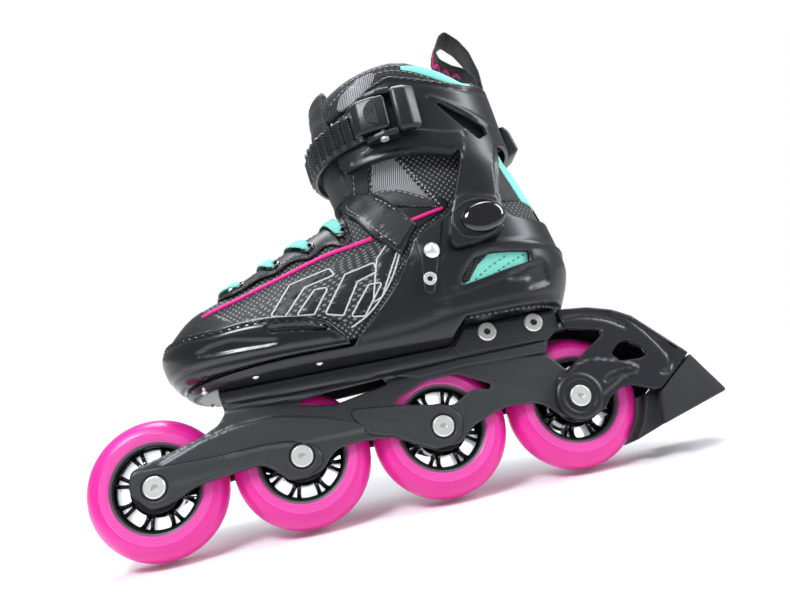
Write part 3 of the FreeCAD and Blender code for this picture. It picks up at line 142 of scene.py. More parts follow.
def bands(mat, second, pitch, turn=0.0, depth=0.0003):
    """Parallel ribs or a twill line, across the piece's own flat coordinates."""
    tree = mat.node_tree
    waves_per_band = 0.31416
    wave = node(tree, "ShaderNodeTexWave", Scale=waves_per_band / pitch, Distortion=0.0)
    wave.wave_type = "BANDS"
    wave.bands_direction = "X"
    tree.links.new(flat_vector(tree, turn), wave.inputs["Vector"])
    return two_tone(mat, second, ramp(tree, wave.outputs["Fac"], 0.25, 0.75), depth)


def cloth(name, colour, rough, sheen):
    """Plain fabric finish that a pattern goes on."""
    return material(name, colour, rough, sheen=sheen)


BLACK = (0.0055, 0.0065, 0.0095)
PINK = (0.80, 0.018, 0.32)
TURQUOISE = (0.22, 0.74, 0.62)
tyre_pink = material("tyre_pink", PINK, 0.34, coat=0.15, grain=(900, 0.00002))
tyre_side = material("tyre_side_ring", (0.82, 0.09, 0.42), 0.28, coat=0.25, grain=(900, 0.00001))
hub_black = material("hub_black", (0.004, 0.004, 0.005), 0.16, coat=0.5, grain=(500, 0.00001))
rim_grey = material("rim_grey", (0.12, 0.12, 0.13), 0.35, grain=(500, 0.00001))
steel = material("bolt_steel", (0.88, 0.87, 0.84), 0.32, metal=0.7, edge=0.0003, grain=(1500, 0.00001))
bearing_steel = material("bearing_steel", (0.42, 0.43, 0.44), 0.3, metal=1.0, edge=0.0002,
                         grain=(1500, 0.00001))
alloy = material("spacer_aluminium", (0.6, 0.61, 0.62), 0.35, metal=1.0, grain=(900, 0.00001))
gunmetal = material("frame_gunmetal", (0.060, 0.065, 0.068), 0.38, metal=0.55, edge=0.0008,
                    grain=(700, 0.00002))
plastic = material("satin_plastic", BLACK, 0.36, coat=0.06, edge=0.0007, grain=(1400, 0.00001))
arm_plastic = material("bracket_plastic", (0.009, 0.0105, 0.014), 0.36, coat=0.1, edge=0.0008,
                       grain=(1200, 0.00002))
rand = material("rand_plastic", (0.0045, 0.0050, 0.0075), 0.24, coat=0.25, edge=0.0007,
                grain=(900, 0.00001))
gloss = material("gloss_black", (0.002, 0.002, 0.003), 0.05, coat=0.8, grain=(300, 0.00001))
rubber = material("brake_rubber", (0.014, 0.0145, 0.016), 0.6, edge=0.001, grain=(1600, 0.00006))
leather = material("black_leather", (0.006, 0.006, 0.007), 0.38, coat=0.05, grain=(1100, 0.00006),
                   edge=0.0005)
lining = material("black_lining", (0.008, 0.008, 0.009), 0.85, sheen=0.1, grain=(1200, 0.0002))
foam = dots(material("insole_foam", (0.012, 0.012, 0.013), 0.9, grain=(900, 0.0001)), (0.03, 0.03, 0.033),
            0.004, 0.25)
mesh_cloth = dots(cloth("black_air_mesh", (0.004, 0.004, 0.005), 0.6, 0.05), (0.17, 0.17, 0.18),
                  0.0026, 0.27, turn=0.78, depth=0.0004)
fine_mesh = dots(cloth("fine_mesh", (0.005, 0.005, 0.006), 0.6, 0.05), (0.06, 0.06, 0.065),
                 0.0017, 0.26, turn=0.4, depth=0.0003)
grip_cloth = bands(cloth("silver_ribbed", (0.07, 0.072, 0.078), 0.32, 0.1), (0.40, 0.40, 0.42),
                   0.0017, turn=0.5)
knit_cloth = bands(cloth("black_knit", (0.004, 0.004, 0.005), 0.5, 0.1), (0.04, 0.04, 0.045),
                   0.0016, turn=1.35, depth=0.0004)
twill = bands(cloth("black_twill", (0.005, 0.005, 0.006), 0.42, 0.05), (0.03, 0.03, 0.034),
              0.0016, turn=0.9, depth=0.00015)
webbing = bands(cloth("black_webbing", (0.005, 0.005, 0.006), 0.6, 0.1), (0.02, 0.02, 0.023), 0.0018)
lace_cloth = bands(cloth("turquoise_lace", TURQUOISE, 0.7, 0.2), (0.13, 0.52, 0.44), 0.0013, turn=0.7)
turquoise = dots(cloth("turquoise_cloth", TURQUOISE, 0.68, 0.2), (0.18, 0.62, 0.52), 0.0013, 0.2,
                 depth=-0.0001)
turquoise_trim = material("turquoise_trim", TURQUOISE, 0.6, sheen=0.2, grain=(1200, 0.0001))
piping_pink = material("pink_piping", (0.80, 0.010, 0.25), 0.5, grain=(1500, 0.00005))
silver_line = material("silver_print", (0.5, 0.5, 0.53), 0.45, grain=(1500, 0.00003))
thread = material("grey_thread", (0.42, 0.42, 0.44), 0.6, grain=(2500, 0.00005))
dark_thread = material("dark_thread", (0.07, 0.07, 0.08), 0.6, grain=(2500, 0.00005))


# ---------------------------------------------------------------- meshes
# A part is (points in millimetres, faces) or (points, faces, flat coordinates for cloth patterns).
PIVOT = (0.087, 0.0, 0.149)
FRONT_FOLD = (0.574, 0.819)
REAR_FOLD = (-0.300, 0.954)
FOLD_REACH = (-4.0, 16.0)


def bend(item, fold):
    """Bakes the piece's transform; the fold's two ends are worked out but not used, so the cloth is not bent."""
    ends = []
    for z in FOLD_REACH:
        reach = z * fold[1] * MM
        ends.append((PIVOT[0] + fold[0] * reach, 0.0, PIVOT[2] + fold[1] * reach))
    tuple(ends[0])
    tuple(ends[1])
    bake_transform(item)


def clean(mesh, weld):
    """Welds a seam and turns every face outwards."""
    work = bmesh.new()
    work.from_mesh(mesh)
    if weld:
        bmesh.ops.remove_doubles(work, verts=work.verts, dist=0.00002)
    bmesh.ops.recalc_face_normals(work, faces=work.faces)
    work.to_mesh(mesh)
    work.free()


def add(name, part, mat, body=CHASSIS, stands_for=(), fold=None, flat=False, sharp=38, weld=False):
    """Piece made from a part, which moves with a body, or is left unattached and unbent when a fold is given;
    flat keeps flat coordinates.
    """
    mesh = bpy.data.meshes.new(name)
    mesh.from_pydata((np.asarray(part[0], float) * MM).tolist(), [], [list(map(int, f)) for f in part[1]])
    if flat:
        layer = mesh.uv_layers.new(name="UVMap")
        corners = np.empty(len(mesh.loops), int)
        mesh.loops.foreach_get("vertex_index", corners)
        layer.data.foreach_set("uv", (np.asarray(part[2], float)[corners] * MM).ravel())
    clean(mesh, weld)
    mesh.polygons.foreach_set("use_smooth", [True] * len(mesh.polygons))
    mesh.set_sharp_from_angle(angle=math.radians(sharp))
    mesh.materials.append(mat)
    item = bpy.data.objects.new(name, mesh)
    scene.collection.objects.link(item)
    if fold:
        bend(item, fold)
    else:
        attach(item, body)
    if stands_for:
        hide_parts(*stands_for)
    return item


def joined(parts):
    """One part from several."""
    points, faces, flats, start = [], [], [], 0
    for part in parts:
        points.append(np.asarray(part[0], float))
        faces += [[i + start for i in face] for face in part[1]]
        flats.append(part[2] if len(part) > 2 else points[-1][:, [0, 2]])
        start += len(part[0])
    return np.concatenate(points), faces, np.concatenate(flats)


def grid(points, wrap_u=False, wrap_v=False):
    """Quads over an array of points laid out in rows and columns."""
    rows, columns = points.shape[:2]
    faces = []
    for i in range(rows - (0 if wrap_u else 1)):
        for j in range(columns - (0 if wrap_v else 1)):
            k, m = (i + 1) % rows, (j + 1) % columns
            faces.append((i * columns + j, i * columns + m, k * columns + m, k * columns + j))
    return points.reshape(-1, 3), faces


def tube(points, flats=None):
    """Part over rings of points, with flat ends."""
    flat_points, faces = grid(points, False, True)
    count = points.shape[1]
    faces += [tuple(range(count)), tuple(reversed(range(len(flat_points) - count, len(flat_points))))]
    return (flat_points, faces) if flats is None else (flat_points, faces, flats.reshape(-1, 2))


def distances(path):
    """Length of a path up to each of its points."""
    return np.concatenate([[0], np.cumsum(np.linalg.norm(np.diff(path, axis=0), axis=1))])


def resampled(path, run, marks):
    """Values along a path at given lengths."""
    return np.stack([np.interp(marks, run, path[:, k]) for k in range(3)], 1)


def pairs(first, second):
    """Flat coordinates from a column and a row."""
    return np.stack(np.broadcast_arrays(first, second), -1).reshape(-1, 2)


def densify(points, step, closed=True):
    """Points along a polyline no further apart than step."""
    points = np.asarray(points, float)
    out = []
    count = len(points) if closed else len(points) - 1
    for i in range(count):
        a, b = points[i], points[(i + 1) % len(points)]
        n = max(1, int(math.ceil(np.linalg.norm(b - a) / step)))
        out += [a + (b - a) * k / n for k in range(n)]
    if not closed:
        out.append(points[-1])
    return np.array(out)


def rounded(corners, step=1.6):
    """Outline through (x, z, corner radius) points, with its corners rounded."""
    out = []
    count = len(corners)
    for i in range(count):
        here = np.array(corners[i][:2], float)
        before = np.array(corners[i - 1][:2], float) - here
        after = np.array(corners[(i + 1) % count][:2], float) - here
        before_length, after_length = np.linalg.norm(before), np.linalg.norm(after)
        before, after = before / before_length, after / after_length
        half = math.acos(max(-1.0, min(1.0, float(before @ after)))) / 2
        radius = min(corners[i][2], min(before_length, after_length) * 0.48 * math.tan(half))
        if radius < 0.05 or half > 1.55:
            out.append(here)
            continue
        middle = (before + after) / np.linalg.norm(before + after)
        centre = here + middle * (radius / math.sin(half))
        start = here + before * (radius / math.tan(half)) - centre
        end = here + after * (radius / math.tan(half)) - centre
        sweep = math.atan2(start[0] * end[1] - start[1] * end[0], float(start @ end))
        steps = max(3, int(abs(sweep) * radius / step) + 1)
        for k in range(steps + 1):
            turn = sweep * k / steps
            out.append(centre + np.array([start[0] * math.cos(turn) - start[1] * math.sin(turn),
                                          start[0] * math.sin(turn) + start[1] * math.cos(turn)]))
    return densify(out, step)


def smooth_line(points, step=1.0, closed=False):
    """Catmull-Rom line through points of any dimension."""
    p = np.asarray(points, float)
    out = []
    count = len(p)
    for i in range(count if closed else count - 1):
        if closed:
            a, b, c, d = p[i - 1], p[i], p[(i + 1) % count], p[(i + 2) % count]
        else:
            a, b, c, d = p[max(i - 1, 0)], p[i], p[i + 1], p[min(i + 2, count - 1)]
        n = max(2, int(np.linalg.norm(c - b) / step))
        for k in range(n):
            t = k / n
            out.append(0.5 * (2 * b + (c - a) * t + (2 * a - 5 * b + 4 * c - d) * t**2
                              + (3 * b - a - 3 * c + d) * t**3))
    if not closed:
        out.append(p[-1])
    return np.array(out)


def inside(points, loops):
    """Even-odd test of points against closed loops."""
    result = np.zeros(len(points), bool)
    x, y = points[:, 0], points[:, 1]
    for loop in loops:
        a, b = loop, np.roll(loop, -1, axis=0)
        for (ax, ay), (bx, by) in zip(a, b):
            if ay != by:
                hit = ((ay > y) != (by > y)) & (x < (bx - ax) * (y - ay) / (by - ay) + ax)
                result ^= hit
    return result


def line_distance(points, starts, ends):
    """Distance of points to the nearest of many segments."""
    best = np.full(len(points), 1e9)
    run = ends - starts
    size = np.maximum((run ** 2).sum(1), 1e-12)
    for first in range(0, len(points), 3000):
        p = points[first:first + 3000, None, :] - starts[None]
        t = np.clip((p * run[None]).sum(2) / size, 0, 1)
        gap = p - t[..., None] * run[None]
        best[first:first + 3000] = np.sqrt((gap ** 2).sum(2).min(1))
    return best


def fill(loops, spacing, rings, seam=None):
    """Triangulated sheet inside closed loops: its points, triangles and each point's distance to the edge."""
    starts = np.concatenate(loops)
    ends = np.concatenate([np.roll(loop, -1, axis=0) for loop in loops])
    edge = np.ones(len(starts), bool) if seam is None else ~(seam(starts) & seam(ends))
    points = [starts]
    middle, run = (starts + ends) / 2, ends - starts
    length = np.maximum(np.linalg.norm(run, axis=1), 1e-9)
    normal = np.stack([-run[:, 1], run[:, 0]], 1) / length[:, None]
    extra = []
    for ring in rings:
        for sign in (1, -1):
            near = (middle + normal * ring * sign)[edge]
            near = near[inside(near, loops)]
            if len(near):
                far = line_distance(near, starts[edge], ends[edge])
                all_far = line_distance(near, starts, ends)
                extra.append(near[(far > 0.9 * ring) & (all_far > 0.45 * min(ring, 1.0))])
    low, high = starts.min(0), starts.max(0)
    across = np.arange(low[0], high[0], spacing)
    up = np.arange(low[1], high[1], spacing * 0.866)
    field = np.array([(x + (spacing / 2 if j % 2 else 0), y) for j, y in enumerate(up) for x in across])
    if len(field):
        field = field[inside(field, loops)]
    if len(field):
        reach = max(rings) if len(rings) else 0
        gap = line_distance(field, starts[edge], ends[edge]) if edge.any() else np.full(len(field), 1e9)
        gap_all = line_distance(field, starts, ends)
        extra.append(field[(gap > reach + 0.45 * spacing) & (gap_all > 0.4 * spacing)])
    seen = set()
    for group in extra:
        for p in group:
            key = (round(p[0] / 0.22), round(p[1] / 0.22))
            if key not in seen:
                seen.add(key)
                points.append(p[None])
    points = np.concatenate(points)
    edges, first = [], 0
    for loop in loops:
        n = len(loop)
        edges += [(first + i, first + (i + 1) % n) for i in range(n)]
        first += n
    found = geometry.delaunay_2d_cdt([Vector(p) for p in points], edges, [], 0, 1e-4)
    points = np.array([list(v) for v in found[0]])
    triangles = np.array([f for f in found[2] if len(f) == 3])
    centres = points[triangles].mean(1)
    triangles = triangles[inside(centres, loops)]
    gap = line_distance(points, starts[edge], ends[edge]) if edge.any() else np.full(len(points), 1e9)
    return points, triangles, gap


def rim_edges(triangles):
    """Directed edges that belong to one triangle only."""
    count = {}
    for a, b, c in triangles:
        for edge in ((a, b), (b, c), (c, a)):
            count[edge] = 1
    return [edge for edge in count if (edge[1], edge[0]) not in count]


def plate(outline, holes, place, low, high, rim=0.8, spacing=3.0, relief=None, seam=None, back_rim=0.0):
    """Sheet piece between the heights low and high above a surface, with a rounded rim."""
    rings = [rim * 0.25, rim * 0.6, rim] if rim > 0 else []
    points, triangles, gap = fill([outline] + list(holes), spacing, rings, seam)

    def drop(radius):
        inner = np.clip(radius - gap, 0, radius)
        return radius - np.sqrt(np.maximum(radius ** 2 - inner ** 2, 0))

    top = high - drop(rim)
    if relief is not None:
        top = top + relief(points) * np.clip(gap / max(rim, 0.3), 0, 1)
    bottom = low + drop(back_rim)
    count = len(points)
    faces = [tuple(t) for t in triangles] + [(c + count, b + count, a + count) for a, b, c in triangles]
    for a, b in rim_edges(triangles):
        if seam is None or not (seam(points[[a]])[0] and seam(points[[b]])[0]):
            faces.append((a, a + count, b + count, b))
    both = np.concatenate([place(points, top), place(points, bottom)])
    return both, faces, np.concatenate([points, points])


def on_plane(side):
    """Heights count outwards along Y from the middle plane, on the side -1 or +1."""
    return lambda p, h: np.stack([p[:, 0], side * h, p[:, 1]], 1)


def slab(corners, half, rim, step=2.0, spacing=4.0):
    """Bar with rounded faces, half its thickness on each side of the middle plane."""
    return plate(rounded(corners, step), [], on_plane(1), -half, half, rim, spacing, back_rim=rim)


def circle(x, z, radius, count=32):
    """Closed loop of points round (x, z)."""
    turn = np.linspace(0, 2 * math.pi, count, endpoint=False)
    return np.stack([x + radius * np.cos(turn), z + radius * np.sin(turn)], 1)


def lathe(profile, side, x, z, count=96):
    """Rings about the Y axis through (x, z) from closed (radius, distance to the side) points."""
    profile = np.asarray(profile, float) * (1, side)
    turn = np.linspace(0, 2 * math.pi, count, endpoint=False)
    points = np.empty((count, len(profile), 3))
    points[..., 0] = x + profile[None, :, 0] * np.cos(turn)[:, None]
    points[..., 1] = profile[None, :, 1]
    points[..., 2] = z + profile[None, :, 0] * np.sin(turn)[:, None]
    return grid(points, True, True)


def frames_along(path, up):
    """Side and upward directions along a path; up is one direction or one for each point."""
    tangent = np.gradient(path, axis=0)
    tangent /= np.maximum(np.linalg.norm(tangent, axis=1), 1e-9)[:, None]
    side = np.cross(tangent, np.broadcast_to(np.asarray(up, float), path.shape))
    side /= np.maximum(np.linalg.norm(side, axis=1), 1e-9)[:, None]
    return side, np.cross(side, tangent)


def sweep(path, up, section, across=1.0, rise=1.0):
    """Closed (across, up) section carried along a path and scaled on the way, with flat ends."""
    sideways, upwards = frames_along(path, up)
    section = np.asarray(section, float)
    across, rise = (np.broadcast_to(size, len(path))[:, None, None] for size in (across, rise))
    points = (path[:, None] + sideways[:, None] * section[None, :, :1] * across
              + upwards[:, None] * section[None, :, 1:] * rise)
    return tube(points, pairs(distances(path)[:, None], distances(section)[None]))


def oval(width, height, count=12, power=2.0):
    """Closed section: a superellipse."""
    turn = np.linspace(0, 2 * math.pi, count, endpoint=False)
    c, s = np.cos(turn), np.sin(turn)
    return np.stack([width / 2 * np.sign(c) * np.abs(c) ** (2 / power),
                     height / 2 * np.sign(s) * np.abs(s) ** (2 / power)], 1)


def stitches(path, up, length=2.2, gap=1.5, width=0.55, height=0.35):
    """Short raised thread runs along a path."""
    run = distances(path)
    up = np.broadcast_to(np.asarray(up, float), path.shape)
    taper = np.array([0.6, 1, 1, 1, 0.6])
    parts = []
    at = gap / 2
    while at + length < run[-1]:
        marks = np.linspace(at, at + length, 5)
        rise = resampled(up, run, marks)
        line = resampled(path, run, marks) + rise * np.array([-0.2, 0.12, 0.2, 0.12, -0.2])[:, None]
        parts.append(sweep(line, rise, oval(width, height, 6), taper, taper))
        at += length + gap
    return joined(parts)


# ---------------------------------------------------------------- the boot's outer form
# Height, toe end, heel end, half widths at the ball and at the heel, where each is reached, toe shift.
LEVELS = np.array([
    (80, -82, 114, 31, 25, .30, .84, 5), (86, -92, 121, 37, 29, .30, .84, 5),
    (92, -99, 126, 41, 32.5, .31, .83, 5),
    (102, -106, 131.5, 44, 36.5, .31, .82, 5), (112, -108, 136, 44.5, 38.5, .32, .81, 4.5),
    (120, -105.5, 138, 43.5, 40, .36, .80, 4), (127, -100, 137.5, 42, 41.5, .40, .79, 4),
    (134, -92, 136, 41, 42.5, .46, .78, 3.5), (142, -73, 134.5, 40.5, 42.5, .52, .76, 3),
    (152, -52, 132.5, 40.5, 42.5, .58, .74, 2), (163, -27, 129.5, 41, 42.5, .62, .73, 1),
    (174, 0, 126, 42, 42.5, .60, .70, .5), (184, 13, 123, 42.5, 42.5, .55, .66, 0),
    (196, 12, 119, 42.5, 42.5, .50, .62, 0), (212, 9.5, 117, 42.5, 42.5, .48, .60, 0),
    (232, 8, 115.5, 43, 43, .47, .58, 0), (255, 9, 113, 44, 44, .47, .58, 0),
    (285, 11, 109, 45, 45, .47, .58, 0),
], float)
NOSE_POWER = 2.15
HEEL_POWER = 2.2
INSTEP_NORMAL = np.array([-0.42, 0.0, 0.91])
SLOPES = np.diff(LEVELS[:, 1:], axis=0) / np.diff(LEVELS[:, 0])[:, None]
TANGENTS = np.zeros_like(LEVELS[:, 1:])
TANGENTS[0], TANGENTS[-1] = SLOPES[0], SLOPES[-1]
PRODUCT = SLOPES[:-1] * SLOPES[1:]
TOTAL = SLOPES[:-1] + SLOPES[1:]
TANGENTS[1:-1] = np.where(PRODUCT > 0, 2 * PRODUCT / np.where(TOTAL == 0, 1, TOTAL), 0)


def section_at(z):
    """The outline's figures at heights z, one column for each figure."""
    heights = LEVELS[:, 0]
    z = np.clip(np.asarray(z, float), heights[0], heights[-1])
    k = np.clip(np.searchsorted(heights, z, side="right") - 1, 0, len(heights) - 2)
    span = (heights[k + 1] - heights[k])[..., None]
    u = (z[..., None] - heights[k][..., None]) / span
    return (LEVELS[k, 1:] * (2 * u**3 - 3 * u**2 + 1) + LEVELS[k + 1, 1:] * (3 * u**2 - 2 * u**3)
            + span * TANGENTS[k] * (u**3 - 2 * u**2 + u) + span * TANGENTS[k + 1] * (u**3 - u**2))


def half_width(t, figures):
    ball, heel, ball_at, heel_at = (figures[..., i] for i in (2, 3, 4, 5))
    front = np.clip((ball_at - t) / ball_at, 0, 1)
    rear = np.clip((t - heel_at) / (1 - heel_at), 0, 1)
    middle = np.clip((t - ball_at) / (heel_at - ball_at), 0, 1)
    between = ball + (heel - ball) * (0.5 - 0.5 * np.cos(math.pi * middle))
    at_toe = ball * (1 - front ** NOSE_POWER) ** (1 / NOSE_POWER)
    at_heel = heel * (1 - rear ** HEEL_POWER) ** (1 / HEEL_POWER)
    return np.where(t <= ball_at, at_toe, np.where(t >= heel_at, at_heel, between))


def flat_outline(a, figures):
    t = (1 - np.cos(a)) / 2
    side = np.where(np.sin(a) >= 0, 1, -1)
    centre = figures[..., 6] * np.maximum(0, 1 - t / figures[..., 4]) ** 1.5
    x = figures[..., 0] + (figures[..., 1] - figures[..., 0]) * t
    return np.stack([x, centre + side * half_width(t, figures)], -1)


def form(a, z, offset, lift=0.0):
    """Points of the boot's form: angle 0 is the toe and pi the heel, positive over the inner side."""
    a, z, offset = np.broadcast_arrays(*(np.asarray(value, float) for value in (a, z, offset)))
    figures = section_at(z)
    along = flat_outline(a + 0.02, figures) - flat_outline(a - 0.02, figures)
    along /= np.maximum(np.linalg.norm(along, axis=-1), 1e-9)[..., None]
    xy = flat_outline(a, figures) + np.stack([along[..., 1], -along[..., 0]], -1) * -offset[..., None]
    points = np.concatenate([xy, z[..., None]], -1)
    return points + np.asarray(lift, float)[..., None] * INSTEP_NORMAL


def angle_at(x, z, offset=0.0):
    """Angle of the form's outline at the side distance x."""
    figures = section_at(z)
    t = (np.asarray(x, float) - figures[..., 0] + offset) / (figures[..., 1] - figures[..., 0] + 2 * offset)
    return np.arccos(1 - 2 * np.clip(t, 0, 1))


def outward(a, z):
    """Outward directions of the form's side."""
    step = form(a, z, 1.0) - form(a, z, 0.0)
    return step / np.linalg.norm(step, axis=-1)[..., None]


RUN = 78.0  # millimetres of flat run for each radian round the form
SEAMS = (0.0, math.pi * RUN)


def side_loop(corners, offset, step=1.8):
    """Side outline of (x, z, radius) corners as a loop over (run, z)."""
    loop = rounded(corners, step)
    run = angle_at(loop[:, 0], loop[:, 1], offset) * RUN
    loop = np.stack([run, loop[:, 1]], 1)
    keep = np.linalg.norm(loop - np.roll(loop, 1, axis=0), axis=1) > 0.25
    return densify(loop[keep], step * 1.4)


def at_seam(p):
    """Whether points lie on the toe or heel line, where the two sides of a layer meet."""
    return (np.abs(p[:, 0] - SEAMS[0]) < 1e-3) | (np.abs(p[:, 0] - SEAMS[1]) < 1e-3)


def wrap(corners, low, high, holes=(), rim=0.8, spacing=3.0, relief=None, lift=(0.0, 0.0)):
    """Layer of the boot between two offsets inside an outline on both sides, joined at the toe or heel."""
    loop = side_loop(corners, high)
    parts = []
    for side in SIDES:
        def place(p, h):
            return form(side * p[:, 0] / RUN, p[:, 1], h, np.interp(h, (low, high), lift))

        def shaped(p):
            return relief(np.stack([form(p[:, 0] / RUN, p[:, 1], high)[:, 0], p[:, 1], p[:, 0]], 1))

        points, faces, flats = plate(loop, [side_loop(hole, high) for hole in holes], place, low, high, rim,
                                     spacing, shaped if relief else None, at_seam)
        parts.append((points, faces if side > 0 else [tuple(reversed(face)) for face in faces], flats))
    return joined(parts)


def groove(p, line, width, depth):
    """Depth of a smooth groove (or ridge, when depth is negative) along a line."""
    line = np.asarray(line, float)
    gap = line_distance(p[:, :2], line[:-1], line[1:])
    return -depth * np.exp(-(gap / width) ** 2)


def plateau(p, corners, height, width):
    """Raised (or sunk) flat area inside (x, z, radius) corners, with a short slope at its edge."""
    loop = rounded(corners, 1.2)
    gap = line_distance(p[:, :2], loop, np.roll(loop, -1, axis=0))
    return height * np.clip(0.5 + np.where(inside(p, [loop]), gap, -gap) / width, 0, 1)


def relief_of(grooves=(), areas=()):
    """Relief made of grooves (points, width, depth) and areas (corners, height, slope width)."""
    def relief(p):
        heights = [groove(p, smooth_line(points), width, depth) for points, width, depth in grooves]
        return sum(heights + [plateau(p, *area) for area in areas])

    return relief


def side_path(points, side, offset, step=1.5):
    """Path on the boot's side through (x, z) points, and the outward direction along it."""
    line = smooth_line(points, step)
    a = side * angle_at(line[:, 0], line[:, 1], offset)
    return form(a, line[:, 1], offset), outward(a, line[:, 1])


# ---------------------------------------------------------------- wheels
WHEELS = {1: -123.36, 2: -41.12, 3: 41.12, 4: 123.36}
AXLE_Z = 40.0
# Profiles are (radius, distance from the middle plane). The shoulder carries fine moulded rings.
TYRE_SHOULDER = [(25.2, 10.4), (26.0, 11.6), (26.9, 12.0), (27.4, 11.75), (27.9, 12.0), (29.2, 12.0),
                 (29.6, 11.8), (30.0, 12.0), (31.4, 12.0)]
TYRE_TREAD = [(32.2, 11.7), (33.2, 11.2), (34.8, 10.3), (36.6, 8.6), (38.2, 6.2), (39.3, 3.8), (39.86, 1.6)]
TYRE_RADIUS = 40.0
SIDE_RING = [(25.9, 11.5), (26.6, 12.02), (31.0, 12.12), (31.2, 12.0), (26.0, 11.2)]
FINE_RING_RADII = (27.2, 28.4, 29.6, 30.7)
HUB_RIM = [(25.2, 10.0), (24.7, 10.3), (23.4, 10.3), (22.6, 9.2), (22.0, 6.6)]
HUB_CORE = [(9.6, 4.8), (11.0, 5.0), (11.0, 11.6), (11.4, 12.0), (13.6, 12.0), (14.2, 11.4), (14.4, 7.2),
            (15.2, 6.4)]
RIM_RING = [(24.5, 10.32), (25.1, 10.5), (25.7, 11.4), (25.3, 11.3), (24.6, 10.2)]
BEARING_SEAL = [(6.4, 11.2), (8.9, 11.45), (9.1, 11.2), (8.8, 10.9)]
SPOKE_PAIRS = 8
SPOKE_FIRST = 22.5
SPOKE_LEAN_INNER, SPOKE_LEAN_OUTER = 4.6, 7.4


def both_faces(half):
    """Closed profile from one half and its mirror image."""
    half = np.asarray(half, float)
    return np.concatenate([half, (half * (1, -1))[::-1]])


def spoke(x, degrees, lean):
    """Thin web that curves outwards from the hub's core to its rim."""
    stations = 9
    near, far = (math.radians(degrees + swing * lean) for swing in (SPOKE_LEAN_INNER, SPOKE_LEAN_OUTER))
    radii = np.linspace(14.0, 22.8, stations)
    angles = near + (far - near) * np.linspace(0, 1, stations) ** 1.5
    path = np.stack([x + radii * np.cos(angles), np.zeros(stations), AXLE_Z + radii * np.sin(angles)], 1)
    width = 1 + 0.55 * np.abs(np.linspace(-1, 1, stations)) ** 3
    return sweep(path, (0, 1, 0), oval(2.5, 13.4, 14, 4.0), width, width)


def make_wheel(number):
    x, body = WHEELS[number], "wheel_%d" % number
    half = np.concatenate([np.array(TYRE_SHOULDER), smooth_line(TYRE_TREAD, 0.9)])
    tread = np.concatenate([half, [[TYRE_RADIUS, 0.0]], (half * (1, -1))[::-1]])
    add("tyre_%d_visual" % number, lathe(tread, 1, x, AXLE_Z, 144), tyre_pink, body, ["tyre_%d" % number],
        sharp=50)
    for side, word in SIDES.items():
        rings = [lathe(SIDE_RING, side, x, AXLE_Z, 144)]
        for r in FINE_RING_RADII:
            ridge_line = [(r - 0.22, 12.05), (r, 12.3), (r + 0.22, 12.05), (r, 11.9)]
            rings.append(lathe(ridge_line, side, x, AXLE_Z, 120))
        add("tyre_ring_%d_%s" % (number, word), joined(rings), tyre_side, body, sharp=25)
    parts = [lathe(both_faces(HUB_RIM), 1, x, AXLE_Z, 128), lathe(both_faces(HUB_CORE), 1, x, AXLE_Z)]
    for pair in range(SPOKE_PAIRS):
        parts += [spoke(x, SPOKE_FIRST + 360 / SPOKE_PAIRS * pair, lean) for lean in (-1, 1)]
    add("hub_%d_visual" % number, joined(parts), hub_black, body, ["hub_%d" % number], sharp=45)
    for side, word in SIDES.items():
        add("rim_ring_%d_%s" % (number, word), lathe(RIM_RING, side, x, AXLE_Z, 128), rim_grey, body,
            sharp=60)
        add("bearing_seal_%d_%s" % (number, word), lathe(BEARING_SEAL, side, x, AXLE_Z, 64), rubber, body)


for wheel in WHEELS:
    make_wheel(wheel)

# ---------------------------------------------------------------- frame
# Outlines are (x, z, corner radius) seen from the side.
RAIL = [
    (-135, 51.5, 5), (-95, 62, 40), (-84, 67, 8), (-79, 73, 4), (-81, 84, 1), (57, 84, 4), (67, 94, 4),
    (125, 94, 1), (124, 84, 2), (115, 77, 3), (112, 69, 5), (122, 57, 4), (134, 50, 10), (136, 36, 10),
    (123, 27, 12), (112, 31, 6), (101, 42, 16), (80, 44, 30), (59, 37, 20), (49, 28.5, 8), (33, 28, 8),
    (22, 34, 12), (12, 40, 12), (-8, 41.5, 12), (-22, 40, 12), (-31, 30, 10), (-41, 27.5, 9), (-50, 28, 8),
    (-58, 36, 10), (-64, 40, 10), (-82, 38.5, 40), (-101, 36, 40), (-117, 29, 12), (-127, 28, 8), (-138, 40, 8),
]
WINDOW_FRONT = [(-46, 70.5, 1.5), (-15, 73.6, 1.5), (13, 74.6, 1.5), (16, 71, 1.5), (-18, 65, 1.5)]
WINDOW_REAR = [(12, 59, 2), (39, 68.5, 10), (56, 68.5, 10), (75, 58.5, 1.5), (73, 55.5, 1.5), (64, 58, 6),
               (50, 51, 6)]
FRONT_ARM = [
    (-135, 51, 4), (-88, 50, 60), (-60, 51, 30), (-46, 50, 16), (-31, 44, 10), (-29, 34, 8), (-41, 27.8, 9),
    (-50, 28.3, 8), (-58, 36.3, 10), (-64, 40, 10), (-82, 38.8, 40), (-101, 36.3, 40), (-117, 29.3, 12),
    (-127, 28.3, 8), (-137, 40, 8),
]
MIDDLE_ARM = [
    (-12, 61, 3), (20, 57, 40), (46, 52, 8), (54, 44, 8), (51, 33, 8), (43, 28, 8), (33, 28.3, 8),
    (22, 34.3, 12), (12, 40.3, 12), (-2, 44, 10),
]
STEP_PLATE = [(57.5, 84, 1), (67, 94, 2), (124.4, 94, 1), (123.6, 83.4, 2), (114.6, 77.6, 2), (60, 79, 2)]
DECK = [(-81, 86, 0.6), (57, 86, 4), (67, 96, 4), (125, 96, 0.6), (125, 92.4, 0.6), (68.5, 92.4, 3),
        (58.5, 82.4, 3), (-81, 82.4, 0.6)]
DECK_FOLD = [(16, 75.2, 0.5), (60, 77, 30), (114, 77, 1), (112, 70, 2), (62, 71.5, 30), (34, 70, 10)]
